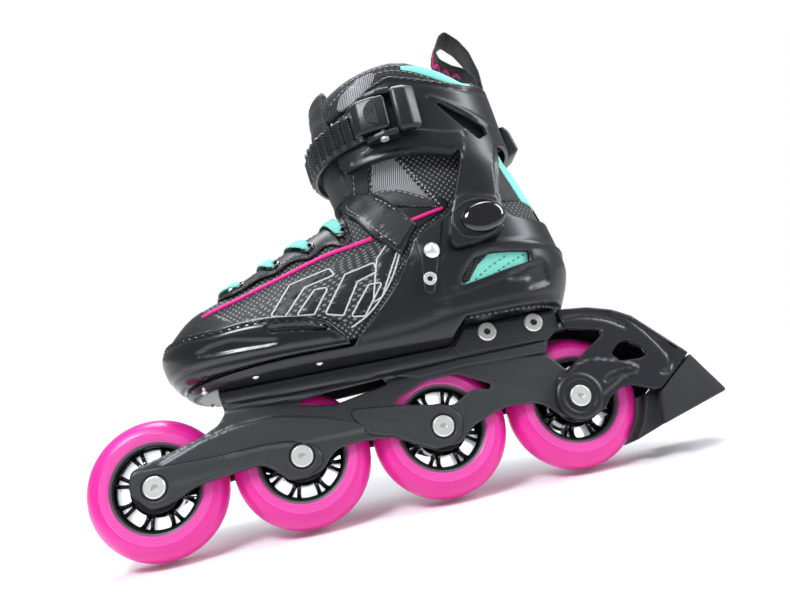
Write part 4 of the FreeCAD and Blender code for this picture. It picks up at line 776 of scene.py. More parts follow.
SWOOSH = [(-124, 49.4, 2), (-112, 54, 20), (-95, 60.1, 30), (-75, 64.4, 30), (-51, 65, 30), (-23, 58.6, 30),
          (6, 46.8, 2), (-13, 47.1, 30), (-35, 47.4, 30), (-77, 48.6, 30)]
BLADE = (SWOOSH, 1.6, 1.6)
UPPER_CREASE = [(-90, 79), (-77, 78.5), (4, 76.4), (24, 77.7), (114, 77)]
LOWER_CREASE = [(-82, 75.4), (-40, 72.9), (-8, 71.6), (23, 73.6), (89, 73.4), (112, 70)]
AXLE_BOSS = [(4.2, 12.1), (5.3, 12.1), (5.8, 12.6), (5.8, 14.4), (4.2, 14.4)]
AXLE_HOLE, ARM_HOLE = 4.2, 7.0


def axle_holes(radius, *numbers):
    """Round holes at the axles of some wheels."""
    return [circle(WHEELS[n], AXLE_Z, radius) for n in numbers]


def rail_relief(p):
    """Straight creases under the deck, the blade over the front arm and the dent before the rear axle."""
    dent = ([(60, 60), (80, 56), (100, 49), (108, 40)], 4.0, 0.5)
    creases = groove(p, UPPER_CREASE, 1.1, 1.2) + groove(p, LOWER_CREASE, 1.1, 1.2)
    return creases + relief_of([dent], [BLADE])(p)


def make_rails():
    layers = [  # outline, step, holes, low, high, rim, relief
        (RAIL, 2.2, [rounded(WINDOW_FRONT), rounded(WINDOW_REAR)] + axle_holes(AXLE_HOLE, *WHEELS),
         14.0, 16.6, 0.7, rail_relief),
        (FRONT_ARM, 1.8, axle_holes(ARM_HOLE, 1, 2), 16.2, 18.2, 1.5,
         relief_of([([(-112, 42), (-90, 42.6), (-66, 43)], 3.0, 0.4)], [BLADE])),
        (MIDDLE_ARM, 1.8, axle_holes(ARM_HOLE, 3), 16.2, 18.2, 1.5,
         relief_of([([(-4, 55), (10, 50), (24, 46)], 3.0, 0.6)])),
        (DECK_FOLD, 1.8, [], 16.2, 18.2, 1.4, None),
        (STEP_PLATE, 1.8, [], 16.2, 17.4, 0.7, None),
    ]
    parts = []
    for side in SIDES:
        for corners, step, holes, low, high, rim, relief in layers:
            parts.append(plate(rounded(corners, step), holes, on_plane(side), low, high, rim, 1.4, relief,
                               back_rim=0.6))
        parts += [lathe(AXLE_BOSS, side, x, AXLE_Z, 40) for x in WHEELS.values()]
    parts.append(slab(DECK, 16.4, 1.7))
    add("frame_visual", joined(parts), gunmetal, stands_for=["frame"], sharp=35)


make_rails()

# ---------------------------------------------------------------- heel brake
BRACKET = [
    (124.6, 94, 1), (143, 92, 20), (158, 87.5, 20), (168.5, 81.5, 3), (196.5, 52.5, 1), (184, 42.5, 2),
    (172, 33.5, 8), (159, 39.5, 12), (151, 41, 12), (143, 37, 14), (137, 30.5, 6), (126, 25, 10), (115, 27, 10),
    (108.6, 40, 10), (114, 54, 5), (122, 57.5, 10), (150, 75.5, 2), (125.6, 82, 1),
]
BRACKET_WINDOW = [(157, 67, 2), (163, 66.5, 3), (169.5, 61, 3), (171, 56.5, 2), (166, 55, 3), (154, 56, 3),
                  (149.5, 61, 2)]
BRACKET_ROOF = [
    (126.4, 93.8, 0), (143, 92, 20), (158, 87.5, 20), (168.5, 81.5, 3), (193, 56, 0), (190, 53, 0),
    (165.6, 78, 3), (156.5, 83.6, 20), (142.5, 87.6, 20), (126.4, 89, 0),
]
BRACKET_SWOOSH = [(109, 44, 4), (114.8, 51.9, 8), (125.8, 58.6, 10), (136.8, 60.2, 14), (156.3, 54.9, 20),
                  (166, 47.4, 2), (153.6, 46.4, 20), (136, 37.5, 20), (122, 28, 8), (112, 32, 8)]
BRACKET_BLADE = [(137, 44, 2), (144, 49.7, 8), (154.8, 50.6, 12), (163, 48.8, 2), (150, 47, 20)]
BRACKET_GROOVES = [
    ([(160, 84.4), (167.6, 79.5), (178, 65), (184, 52), (182, 44.6), (177, 44)], 1.1, 1.3),
    ([(127, 87.4), (139, 86.6), (153, 82), (163, 75.6)], 1.1, 1.2),
]
BRACKET_BOSS = [(4.2, 19.5), (7.2, 19.5), (7.2, 21.2), (8.8, 21.2), (9.3, 21.7), (9.8, 22.5), (11.0, 22.9),
                (12.6, 22.8), (13.8, 22.0), (14.2, 20.6), (14.2, 17.9), (4.2, 17.9)]
PAD_SEAT = [(176, 46, 1), (184, 42.8, 1), (196, 52, 1), (190, 59, 1), (181, 58, 1)]
BRACKET_TONGUE = [(99, 86.6, 0.6), (136, 86.6, 0.6), (136, 92.2, 0.6), (99, 92.2, 0.6)]
PAD_BODY = [(184, 42, 1), (197.4, 51.6, 0.6), (213, 26, 1.5), (169, 14, 1), (170.6, 24, 4), (172.2, 33, 6)]
PAD_TOE = [(172.2, 33.2, 0.3), (171, 24, 0), (171, 14.5, 0.5), (153.4, 9.0, 0.5)]
PAD_CLEARANCE = 2.2


def make_brake():
    rear = WHEELS[4]
    relief = relief_of(BRACKET_GROOVES, [(BRACKET_SWOOSH, 1.7, 1.2), (BRACKET_BLADE, -1.4, 1.2)])
    parts = []
    for side in SIDES:
        holes = [rounded(BRACKET_WINDOW, 1.4)] + axle_holes(AXLE_HOLE, 4)
        parts.append(plate(rounded(BRACKET, 1.8), holes, on_plane(side), 16.9, 20.4, 1.2, 1.4, relief,
                           back_rim=0.5))
        parts.append(lathe(BRACKET_BOSS, side, rear, AXLE_Z, 72))
    parts += [slab(BRACKET_ROOF, 20.4, 1.6), slab(PAD_SEAT, 17.9, 1, 1.6),
              slab(BRACKET_TONGUE, 13.8, 0.6, 1.6)]
    add("brake_bracket_visual", joined(parts), arm_plastic, stands_for=["brake_bracket"], sharp=35)
    near = TYRE_RADIUS + PAD_CLEARANCE
    arc = [(rear + near * math.cos(t), AXLE_Z + near * math.sin(t), 0)
           for t in np.radians(np.linspace(-46, -7, 16))]
    parts = [slab(PAD_BODY, 20, 1.6, 1.8), slab(PAD_TOE + arc, 13, 0.8)]
    add("brake_pad_visual", joined(parts), rubber, stands_for=["brake_pad"], sharp=35)


make_brake()

# ---------------------------------------------------------------- boot shell
SHELL = [
    (-170, 91, 0), (-2, 91, 0), (4, 97.5, 8), (16, 108, 14), (28, 119.5, 20), (38, 133, 20),
    (45.5, 146, 3), (57, 153.5, 10), (72, 160, 10), (87, 165, 12), (99, 160, 12), (108, 150.5, 10),
    (124, 148, 20), (150, 152, 0), (150, 96.1, 0), (67, 96.1, 2), (57, 86.1, 2), (-170, 86.1, 0),
]
HEEL_WINDOW = [(68.5, 113.5, 1.5), (70, 118.5, 4), (79, 127.5, 4), (90, 129, 20), (113, 127, 1), (112, 121, 1)]
SHELL_GROOVES = [
    ([(49, 105), (70, 108), (95, 112.5), (111, 118.5)], 1.2, 0.8),
    ([(-100, 96), (-60, 92.6), (-10, 92), (30, 94), (64, 99), (126, 101)], 1.3, 0.7),
    ([(8, 98), (22, 109), (34, 123), (42, 139)], 1.2, 0.8),
]
SHELL_ARM = [(46, 100, 4), (47.5, 146, 2), (66, 159, 2), (84, 164, 4), (67, 141, 8), (57, 118, 8), (56, 102, 4)]
SHELL_HEEL = [(58, 130.4, 3), (66, 133.6, 4), (82, 135.4, 20), (100, 134.6, 20), (150, 130, 0), (150, 126, 0),
              (118, 129.6, 6), (96, 131.2, 20), (78, 129.6, 6), (68, 121, 4), (64, 112, 2), (60, 112, 2)]
SHELL_RECESS = [(84, 112.6, 2), (121, 121.4, 4), (121, 108, 2), (100, 103.6, 3), (113, 110.6, 2)]
SOLE_LOW, SOLE_STEP, STEP_X, STEP_RUN = 86.0, 10.0, 57.0, 10.0


def make_shell():
    relief = relief_of(SHELL_GROOVES, [(SHELL_ARM, 0.9, 1.8), (SHELL_HEEL, 1.1, 1.8),
                                       (SHELL_RECESS, -1.6, 2.2)])
    wall = wrap(SHELL, 0.35, 3.35, [HEEL_WINDOW], rim=1.5, spacing=1.9, relief=relief)
    strip = []
    for a in np.linspace(0.0, math.pi, 90):
        z = SOLE_LOW
        for _ in range(4):  # the sole's height depends on x, and x a little on the height
            x = form(a, z, 1.85)[0]
            z = SOLE_LOW + SOLE_STEP * min(1.0, max(0.0, (x - STEP_X) / STEP_RUN))
        left, right = form(-a, z + 0.1, 1.9), form(a, z + 0.1, 1.9)
        strip.append(np.stack([left + (right - left) * k / 6 + (0, 0, -0.05) for k in range(7)]))
    outside, inner = grid(np.array(strip)), grid(np.array(strip) * (0.985, 0.97, 1) + (0, 0, 4.9))
    add("shell_visual", joined([wall, outside, inner]), plastic, stands_for=["shell_base"], sharp=60, weld=True)


TOE_CAP = [
    (-130, 92, 0), (-130, 121, 0), (-98, 120, 30), (-81, 117.5, 30), (-55, 117, 60), (-28, 112.5, 20),
    (-14, 107, 12), (-6, 98, 6), (-3.5, 92, 0),
]
TOE_LIP = [(-98, 117.0), (-80, 114.4), (-55, 113.6), (-30, 109.6), (-16, 103.6), (-10, 97)]
TOE_BELT = [(-140, 99), (-98, 98.6), (-60, 96.2), (-30, 95), (-4, 94.4)]
LEAF = [(-91, 105, 1), (-80, 108, 12), (-68, 108, 12), (-54, 104.4, 12), (-36, 100, 1), (-50, 99.6, 20),
        (-66, 101, 20), (-80, 102.4, 12)]
SLOT = [(-47, 110, 1), (-38, 109.6, 6), (-26, 107.4, 8), (-14, 104, 3), (-11.5, 101.6, 1), (-18, 102, 5),
        (-30, 104.4, 8), (-46, 107, 1)]
TOE_STITCH = dict(length=3.6, gap=1.5, width=1.3, height=0.9)
TOE_STITCH_OFFSET = 2.75


def make_toe_cap():
    relief = relief_of([([(-140, 117.4)] + TOE_LIP, 1.2, 0.9), (TOE_BELT, 1.2, 0.8)],
                       [(LEAF, -1.5, 2.2), (SLOT, -2.2, 1.4)])
    add("toe_cap_visual", wrap(TOE_CAP, 0.35, 3.35, rim=1.4, spacing=1.2, relief=relief), rand,
        stands_for=["toe_cap"], sharp=70, weld=True)
    parts = [stitches(*side_path(TOE_LIP, side, TOE_STITCH_OFFSET), **TOE_STITCH) for side in SIDES]
    turn = np.linspace(-1.0, 1.0, 40) * angle_at(-98.0, 117.0, TOE_STITCH_OFFSET)
    parts.append(stitches(form(turn, 117.2, TOE_STITCH_OFFSET), outward(turn, 117.2), **TOE_STITCH))
    add("toe_cap_stitching", joined(parts), hub_black)


STRAP_PLATE = [
    (46, 144.5, 1), (56, 151, 2), (67, 154.5, 1), (61, 137, 10), (55, 122, 6), (51, 110.5, 2), (44.5, 112.5, 3),
    (46, 124, 10), (47, 132, 8),
]
make_shell()
make_toe_cap()
add("strap_plates_visual", wrap(STRAP_PLATE, 3.4, 4.95, rim=1.0, spacing=2.0), plastic,
    stands_for=["strap_plates"], sharp=32)

# ---------------------------------------------------------------- cloth of the boot
# Where the boot's cloth ends and the collar begins, as (x, z).
SEAM_LINE = np.array([(-30, 245), (10, 235), (30, 240), (52, 244), (66, 242), (84, 237), (100, 234),
                      (112, 237), (150, 239)])
PIVOT_X = 87.0


CLOTH_TOP = 246  # first guess of the seam's height
ROW_CROWDING = 0.9  # rows stand a little closer near the sole


def cloth_grid(rear, offset, columns, rows, bottom):
    """Half of the boot's cloth, in front of or behind the pivot."""
    points = np.empty((rows, columns, 3))
    flats = np.empty((rows, columns, 2))
    for i, s in enumerate(np.linspace(0, 1, rows) ** ROW_CROWDING):
        z = np.full(columns, bottom + (CLOTH_TOP - bottom) * s)
        for _ in range(3):  # the seam's height depends on x, and x on the height
            middle = angle_at(PIVOT_X, z)
            if rear:
                a = middle + (2 * math.pi - 2 * middle) * np.linspace(0, 1, columns)
            else:
                a = -middle + 2 * middle * np.linspace(0, 1, columns)
            top = np.interp(form(a, z, 0)[:, 0], SEAM_LINE[:, 0], SEAM_LINE[:, 1])
            z = bottom + (top - bottom) * s
        points[i] = form(a, z, offset)
        run = distances(points[i][:, :2])
        flats[i] = np.stack([np.minimum(run, run[-1] - run), z], 1)
    return (*grid(points), flats.reshape(-1, 2))


def make_cloth():
    for rear, name, fold, columns in ((False, "front", FRONT_FOLD, 181), (True, "rear", REAR_FOLD, 91)):
        add("boot_cloth_%s" % name, cloth_grid(rear, -0.05, columns, 130, 95.0), mesh_cloth,
            stands_for=["upper", "liner_shaft"], fold=fold, flat=True, sharp=80)
        add("boot_lining_%s" % name, cloth_grid(rear, -6.0, columns // 2 + 1, 80, 102.0), lining, fold=fold,
            flat=True, sharp=80)


make_cloth()

# Sewn-on pieces: outline, offset from the form, thickness, material, and a fold, which leaves the piece
# unattached and unbent.
PATCHES = {
    "toe_patch": ([(-130, 117, 0), (-130, 140, 0), (-90, 140, 0), (-81, 135, 4), (-73, 127, 10),
                   (-63, 116.5, 2), (-84, 116, 2)], 0.1, 0.6, leather, None),
    "side_panel": ([(-62, 114, 3), (-20, 110, 10), (6, 101, 6), (22, 116, 14), (33, 130, 20), (41, 146, 6),
                    (44, 152, 3), (20, 148, 30), (-4, 141.5, 20), (-30, 131, 30), (-56, 123, 10)],
                   0.1, 0.5, mesh_cloth, None),
    "ankle_patch": ([(33, 204, 1), (47, 200, 1), (66, 163, 1), (48, 168, 20), (28, 176, 2)],
                    0.15, 0.7, grip_cloth, FRONT_FOLD),
    "ankle_knit": ([(14, 190, 2), (17, 205, 4), (19, 214, 3), (31, 214, 3), (31, 204, 6), (26, 178, 3),
                    (20, 182, 4)], 0.1, 0.6, knit_cloth, FRONT_FOLD),
    "ankle_flap": ([(24, 181, 2), (31, 184, 10), (44, 180, 14), (58, 171.5, 4), (67, 163.5, 2), (52, 166, 20),
                    (36, 171, 10)], 0.9, 0.7, knit_cloth, FRONT_FOLD),
    "arm_backing": ([(44, 150, 2), (58, 157, 6), (74, 164, 6), (66, 170, 4), (48, 168, 6), (36, 172, 4),
                     (32, 160, 6)], 0.1, 0.5, leather, FRONT_FOLD),
    "heel_cloth": ([(66, 108, 0), (66, 120, 2), (77, 131, 4), (90, 133, 10), (118, 131, 2), (118, 116, 2)],
                   0.05, 0.22, turquoise, None),
    "heel_tip": ([(67, 115, 0), (69, 121, 1), (78, 129.6, 1), (89, 130.4, 1), (79, 124, 3), (72, 115.6, 1)],
                 0.3, 0.3, fine_mesh, None),
    "slot_backing": ([(70, 232, 1), (108, 214, 1), (110, 202, 1), (97, 197, 1)], 0.15, 0.4, lining, None),
    "stay_cloth": ([(150, 160, 0), (118, 161, 2), (111, 178, 10), (104.6, 198, 4), (150, 200, 0)],
                   0.1, 0.7, turquoise, REAR_FOLD),
    "stay_mesh": ([(104, 160, 2), (117, 161, 2), (110, 178, 10), (104, 197, 2), (101.5, 184, 4)],
                  0.08, 0.5, fine_mesh, REAR_FOLD),
}
for name, (corners, offset, thick, mat, fold) in PATCHES.items():
    add(name, wrap(corners, offset, offset + thick, rim=0.5), mat,
        CUFF if name == "slot_backing" else CHASSIS, fold=fold, flat=True, sharp=40)


def piping(name, points, offset, radius):
    """Pink cord along a side line, on both sides."""
    paths = [side_path(points, side, offset, 1.2) for side in SIDES]
    cords = [sweep(line, up, oval(2 * radius, 2 * radius, 10)) for line, up in paths]
    add(name, joined(cords), piping_pink, flat=True)


piping("pink_piping", [(-82, 129.4), (-70, 131.8), (-58, 134.2), (-34, 141), (-8, 148), (10, 150.6),
                       (22, 152.6)], 0.5, 1.25)
piping("pink_piping_rear", [(47, 158.6), (56, 160.5), (67, 162.5)], 0.7, 1.1)


def side_stitching(name, runs, mat, fold=None, length=2.2, gap=1.4, width=0.5, height=0.34):
    """Stitching along (points, offset) runs on both sides."""
    parts = [stitches(*side_path(points, side, offset), length, gap, width, height)
             for points, offset in runs for side in SIDES]
    add(name, joined(parts), mat, fold=fold)


side_stitching("ankle_edge_stitching", [([(46.4, 199), (55.2, 181.8), (64.4, 164.2)], 1.0)], hub_black,
               FRONT_FOLD, 2.0, 1.3, 1.7, 0.9)
side_stitching("ankle_edge_thread", [([(48.6, 198), (57.4, 181), (66.4, 164)], 0.7)], thread, FRONT_FOLD,
               1.3, 1.2, 0.9, 0.6)
side_stitching("ankle_stitching", [([(33, 201), (30.4, 190), (27.6, 178)], 1.0),
                                   ([(22, 203), (20.6, 193), (19.6, 184)], 0.9),
                                   ([(27, 181.6), (36, 181.4), (46, 177.4), (60, 168.6)], 1.8)],
               thread, FRONT_FOLD)
side_stitching("piping_stitching", [([(-86, 123.6), (-70, 128.4), (-58, 131.2), (-34, 138), (-8, 145),
                                      (22, 150)], 0.5)], dark_thread)
side_stitching("heel_stitching", [([(75, 115.6), (86, 121.8), (100, 127.6)], 0.35),
                                  ([(86, 116.6), (98, 122), (110, 126.4)], 0.35)], dark_thread)

# Slanted bars outlined in silver on the sides of the forefoot.
BARS = [
    [(-44, 116), (-36, 114), (-22, 130), (-4, 134), (-6, 139), (-30, 134)],
    [(-30, 113), (-20, 112), (-9, 127), (-17, 127)],
    [(-14, 111), (-4, 108.4), (8, 127), (20, 131), (20, 137), (2, 133)],
    [(0, 107), (8, 106), (22, 124), (14, 124)],
    [(14, 112.5), (20, 115.5), (34, 140), (40, 147), (30, 147), (22, 139)],
]
BAR_ARC = [(-1, 101), (9, 106), (19, 114.4), (28, 125.4), (35, 138), (38, 146)]
PRINT_OFFSET = 0.68


def make_graphic():
    line_section = oval(0.9, 0.34, 6)
    lines, fills = [], []
    for bar in BARS:
        corners = [(x, z, 1.0) for x, z in bar]
        outline = rounded(corners, 1.2)
        line = np.concatenate([outline, outline[:2]])
        for side in SIDES:
            a = side * angle_at(line[:, 0], line[:, 1], PRINT_OFFSET)
            lines.append(sweep(form(a, line[:, 1], PRINT_OFFSET), outward(a, line[:, 1]), line_section))
        fills.append(wrap(corners, 0.55, 0.66, rim=0.1))
    lines += [sweep(*side_path(BAR_ARC, side, PRINT_OFFSET), line_section) for side in SIDES]
    add("side_graphic", joined(lines), silver_line)
    add("side_graphic_film", joined(fills), leather)


make_graphic()

# ---------------------------------------------------------------- instep: eyestay, eyelets, laces
LACE_ROWS = (-58.0, -36.0, -14.5, 6.0)
LACE_ROW_Y = (19.6, 24.4, 29.0, 33.0)


def eyelet_y(x):
    """Distance of the eyelets from the middle plane: the two rows part towards the ankle."""
    return np.interp(x, LACE_ROWS, LACE_ROW_Y)


def ridge(x, y):
    """Height of the boot's upper surface over points of the plan, by halving."""
    low, high = np.full(np.shape(x), 96.0), np.full(np.shape(x), 184.0)
    for _ in range(26):
        z = (low + high) / 2
        figures = section_at(z)
        t = (x - figures[..., 0]) / (figures[..., 1] - figures[..., 0])
        covered = (t > 0) & (half_width(np.clip(t, 0, 1), figures) > np.abs(y))
        low, high = np.where(covered, z, low), np.where(covered, high, z)
    return low


def on_instep(x, y, height):
    """Points that stand off the instep along its normal."""
    x, y = np.broadcast_arrays(np.asarray(x, float), np.asarray(y, float))
    step = 0.6
    slope_x = (ridge(x + step, y) - ridge(x - step, y)) / (2 * step)
    slope_y = (ridge(x, y + step) - ridge(x, y - step)) / (2 * step)
    normal = np.stack([-slope_x, -slope_y, np.ones(x.shape)], -1)
    normal /= np.linalg.norm(normal, axis=-1)[..., None]
    return np.stack([x, y, ridge(x, y)], -1) + normal * np.asarray(height, float)[..., None]


def instep_normal(x, y):
    """Directions straight off the instep."""
    step = on_instep(x, y, 1.0) - on_instep(x, y, 0.0)
    return step / np.linalg.norm(step, axis=-1)[..., None]


def instep_plate(p, h):
    """Place function for plates over the plan of the instep."""
    return on_instep(p[:, 0], p[:, 1], h)


def stay_edge(x):
    """Half width of the scalloped eyestay."""
    nose = np.sqrt(np.clip(1 - (np.minimum(x + 60.0, 0) / 13.0) ** 2, 0, 1))
    scallop = 1.9 * np.sin(math.pi * (x + 58.0) / 21.4) ** 2 * (x > -58)
    return (eyelet_y(x) + np.interp(x, (-58.0, 6.0), (5.6, 4.2)) - scallop) * nose


def make_eyestay():
    x = np.concatenate([np.linspace(10.6, -58, 60), -58 - 15 * np.sin(np.linspace(0.05, math.pi / 2, 16))])
    outer = np.stack([x, stay_edge(x)], 1)
    throat = [(10.6, -20), (-52, -10)]
    throat += [(-52 - 10 * math.sin(t), -10 * math.cos(t)) for t in np.linspace(0.2, math.pi - 0.2, 12)]
    throat += [(-52, 10), (10.6, 20)]
    loop = densify(np.concatenate([outer, (outer * [1, -1])[::-1][1:], np.array(throat)]), 1.8)
    holes = [circle(x, side * eyelet_y(x), 3.0, 20) for x in LACE_ROWS for side in SIDES]
    add("eyestay_visual", plate(loop, holes, instep_plate, 0.1, 1.35, 0.6), leather, stands_for=["eyestay"],
        flat=True, sharp=40)
    strip = rounded([(-60, -11, 6), (14, -21, 0), (14, 21, 0), (-60, 11, 6)], 2.5)
    crown = lambda p: 0.5 * np.cos(p[:, 1] / 11 * math.pi / 2) ** 2
    add("tongue_front", plate(strip, [], instep_plate, 0.0, 0.45, 0.2, relief=crown), fine_mesh, flat=True,
        sharp=60)
    seams = []
    for side in SIDES:
        edge, inner = np.linspace(-66, 10, 70), np.linspace(-50, 10, 50)
        for x, y in ((edge, stay_edge(edge) - 1.7), (inner, np.linspace(11.6, 21.2, 50))):
            y = side * y
            seams.append(stitches(on_instep(x, y, 1.3), instep_normal(x, y), 1.9, 1.2, 0.45, 0.3))
    add("eyestay_stitching", joined(seams), dark_thread)


EYELET_RING = [(2.3, 0.4), (2.3, 1.9), (2.7, 2.35), (3.4, 2.5), (4.1, 2.2), (4.4, 1.6), (4.3, 1.2), (3.0, 1.1),
               (2.9, 0.4)]


def eyelet(x, y, count=36):
    """Ring of (radius, height) points about the instep's normal."""
    axis = instep_normal(x, y)
    side = np.cross(axis, (0.3, 0.9, 0.2))
    side /= np.linalg.norm(side)
    rise = np.cross(axis, side)
    turn = np.linspace(0, 2 * math.pi, count, endpoint=False)[:, None, None]
    radius, height = np.array(EYELET_RING).T[:, None, :, None]
    points = on_instep(x, y, 0.0) + height * axis + radius * (np.cos(turn) * side + np.sin(turn) * rise)
    return grid(points, True, True)


def make_laces():
    section = oval(7.6, 1.5, 18, 2.6)
    parts = []
    for row, x in enumerate(LACE_ROWS):
        lean = 1.6 if row % 2 else -1.6
        far = float(eyelet_y(x))
        route = [(0, -far, -1.6), (0, -far, 1.2), (-1.6, -far + 1.6, 3.3), (-6 + lean, -far * 0.55, 3.6),
                 (-8 + lean, 0, 3.1), (-6 + lean, far * 0.55, 3.6), (-1.6, far - 1.6, 3.3), (0, far, 1.2),
                 (0, far, -1.6)]
        line = smooth_line(route, 0.9)
        path = on_instep(x + line[:, 0], line[:, 1], line[:, 2])
        gathered = 0.55 + 0.45 * np.sqrt(np.clip((far - np.abs(line[:, 1])) / 5.0, 0, 1))
        up = instep_normal(x + line[:, 0], line[:, 1] * 0.96)
        points, faces, _ = sweep(path, up, section, gathered)
        parts.append((points, faces, pairs(distances(path)[:, None], section[None, :, 0])))
    add("laces", joined(parts), lace_cloth, stands_for=["lace"], flat=True, sharp=60)


make_eyestay()
rings = [eyelet(x, side * eyelet_y(x)) for x in LACE_ROWS for side in SIDES]
add("eyelets_visual", joined(rings), hub_black, stands_for=["eyelets"], sharp=50)
make_laces()

STRAP = [
    (11.5, 190.5, 0), (11.5, 172, 6), (22, 153, 30), (37.6, 136.8, 1), (44.4, 146.8, 1), (50.4, 153.6, 1),
    (42, 166, 20), (34, 176, 10), (31, 179.5, 1),
]
STRAP_FLAP = [(27, 154, 3), (36.5, 141, 1), (42.6, 148, 1), (49, 154, 1), (43, 163, 8), (34, 167, 3)]
STRAP_STITCHING = ([(14.6, 181), (15, 173), (25, 156), (37.5, 141)], [(30, 176), (38, 167), (46, 156)])


def make_instep_strap():
    add("instep_strap_visual", wrap(STRAP, 0.45, 2.6, rim=0.9, spacing=2.6, lift=(0.6, 2.2)), leather,
        stands_for=["instep_strap"], flat=True, sharp=40, weld=True)
    parts = []
    for line in STRAP_STITCHING:
        for side in SIDES:
            path, up = side_path(line, side, 2.7)
            parts.append(stitches(path + INSTEP_NORMAL * 2.2, up, 2.0, 1.3, 0.5, 0.35))
    add("instep_strap_stitching", joined(parts), thread)
    add("instep_flap", wrap(STRAP_FLAP, 2.5, 3.1, rim=0.5, spacing=2.4, lift=(2.1, 2.2)), twill, flat=True,
        sharp=40)


make_instep_strap()

# ---------------------------------------------------------------- cuff
CUFF_OUTLINE = [
    (67, 142, 3), (68.5, 134, 4), (84, 134.6, 30), (99, 138, 4), (103, 143, 4), (105.5, 163, 40), (107, 178, 30),
    (112, 200, 8), (150, 202, 0), (150, 244, 0), (114, 243.5, 14), (102, 239, 20), (87, 240.5, 30), (62, 247, 20),
    (51, 249.5, 8), (38, 245, 20), (26, 238, 20), (12, 226, 4), (13, 205, 2), (16, 198, 2), (40, 198, 60),
    (62, 195.5, 40), (82, 190, 4), (86.5, 196, 1), (82, 182, 30), (74, 162, 30),
]
CUFF_SLOT = [(77, 228.5, 0.6), (106, 210, 1.5), (107, 205.5, 1.5), (99, 200.5, 1.5)]
CUFF_GROOVES = [
    ([(20, 230), (30, 237), (40, 242), (52, 245.5), (64, 243), (87, 237), (102, 235.6), (116, 239.8)], 1.1, 0.8),
    ([(22, 202.5), (44, 202), (66, 199), (80, 194.5)], 1.2, 0.7),
    ([(74, 231), (90, 222.5), (108, 212.5)], 1.5, -0.9),
]
CUFF_WING = [(8, 200, 2), (30, 205, 8), (46, 212.4, 2), (54, 213.6, 3), (78, 207, 6), (90, 206, 3), (83, 186, 2),
             (62, 192, 30), (40, 194, 60), (8, 190, 2)]
CUFF_BLADE = [(60, 130, 2), (82, 187, 4), (92, 209, 2), (110, 204, 2), (101.5, 180, 20), (98.6, 160, 20),
              (97, 130, 2)]
CUFF_FOOT = [(60, 120, 1), (66, 160, 4), (78, 165.6, 8), (100, 160, 8), (112, 150, 1), (112, 120, 1)]
CUFF_FACE = 7.4
CAP = (87.0, 149.0)
CAP_TILT = math.radians(6)


def cap_oval(half_length, half_height, turn):
    """Points of the pivot cap's tilted oval."""
    u, v = half_length * np.cos(turn), half_height * np.sin(turn)
    return (CAP[0] + u * math.cos(CAP_TILT) - v * math.sin(CAP_TILT),
            CAP[1] + u * math.sin(CAP_TILT) + v * math.cos(CAP_TILT))


def make_cuff():
    relief = relief_of(CUFF_GROOVES, [(CUFF_WING, 1.0, 1.2), (CUFF_BLADE, 0.9, 0.9), (CUFF_FOOT, 0.7, 0.9)])
    add("cuff_visual", wrap(CUFF_OUTLINE, 4.6, CUFF_FACE, [CUFF_SLOT], rim=1.0, spacing=1.4, relief=relief),
        plastic, CUFF, ["cuff"], sharp=32, weld=True)
    turn = np.linspace(0, 2 * math.pi, 61)
    face = abs(form(angle_at(*CAP, CUFF_FACE), CAP[1], CUFF_FACE)[1]) + 1.2
    rims = []
    for side, word in SIDES.items():
        x, z = cap_oval(15.3, 11.2, turn)
        a = side * angle_at(x, z, CUFF_FACE)
        rims.append(sweep(form(a, z, 8.4), outward(a, z), oval(2.6, 2.6, 12)))
        rings = []
        for r in np.linspace(0.001, 1, 16):
            x, z = cap_oval(13.5 * r, 9.5 * r, turn[:-1])
            dome = face + 4.3 * (1 - r ** 5) ** 0.6 * (1 - 0.12 * r ** 2)
            rings.append(np.stack([x, np.full(len(x), side * dome), z], 1))
        rings.append(rings[-1] * (1, 0, 1) + (0, side * face, 0))
        points, faces = grid(np.array(rings), False, True)
        faces.append(tuple(range(len(turn) - 1)))
        add("pivot_cap_" + word, (points, faces), gloss, CUFF, ["pivot_caps"] if side < 0 else [], sharp=45)
    add("pivot_rims", joined(rims), plastic, CUFF)


make_cuff()

# ---------------------------------------------------------------- collar, tongue, stay and pull loop
COLLAR_TOP = np.array([(-30, 252), (8, 253), (20, 256), (31, 258.5), (44, 260.5), (56, 261.5), (66, 260),
                       (80, 253.5), (92, 247.2), (99, 245.4), (106, 249), (112, 255), (118, 256), (140, 256)])
THROAT_ANGLE = 0.47  # half of the angle that the tongue fills
COLLAR_PANEL = [(17, 238, 3), (22, 248, 3), (34, 254.6, 8), (47, 256.4, 3), (42, 248, 6), (38, 240.6, 2)]
COLLAR_RIBBON = [(62, 255.2), (72, 252.6), (84, 247.2), (92, 243.6), (99, 241.4), (106, 243)]
COLLAR_SEAMS = ([(24, 253.6), (40, 256.6), (54, 257.8), (62, 257)],
                [(16, 246), (26, 251.2), (40, 253.6), (54, 254.6), (66, 251.6), (80, 244.8)])


def pad_ring(angles, low, high, inner, outer, count=26):
    """Stuffed band: a rounded section between two offsets and two heights, carried round the boot."""
    c, s = oval(2, 2, count, 2.6).T[:, None]
    offset = (inner + outer) / 2 + (outer - inner) / 2 * c
    z = (low + high)[:, None] / 2 + (high - low)[:, None] / 2 * s
    points = form(angles[:, None], z, offset)
    arc = distances(np.stack([offset[0], z[0]], 1))
    return tube(points, pairs(angles[:, None] * 60, arc[None]))


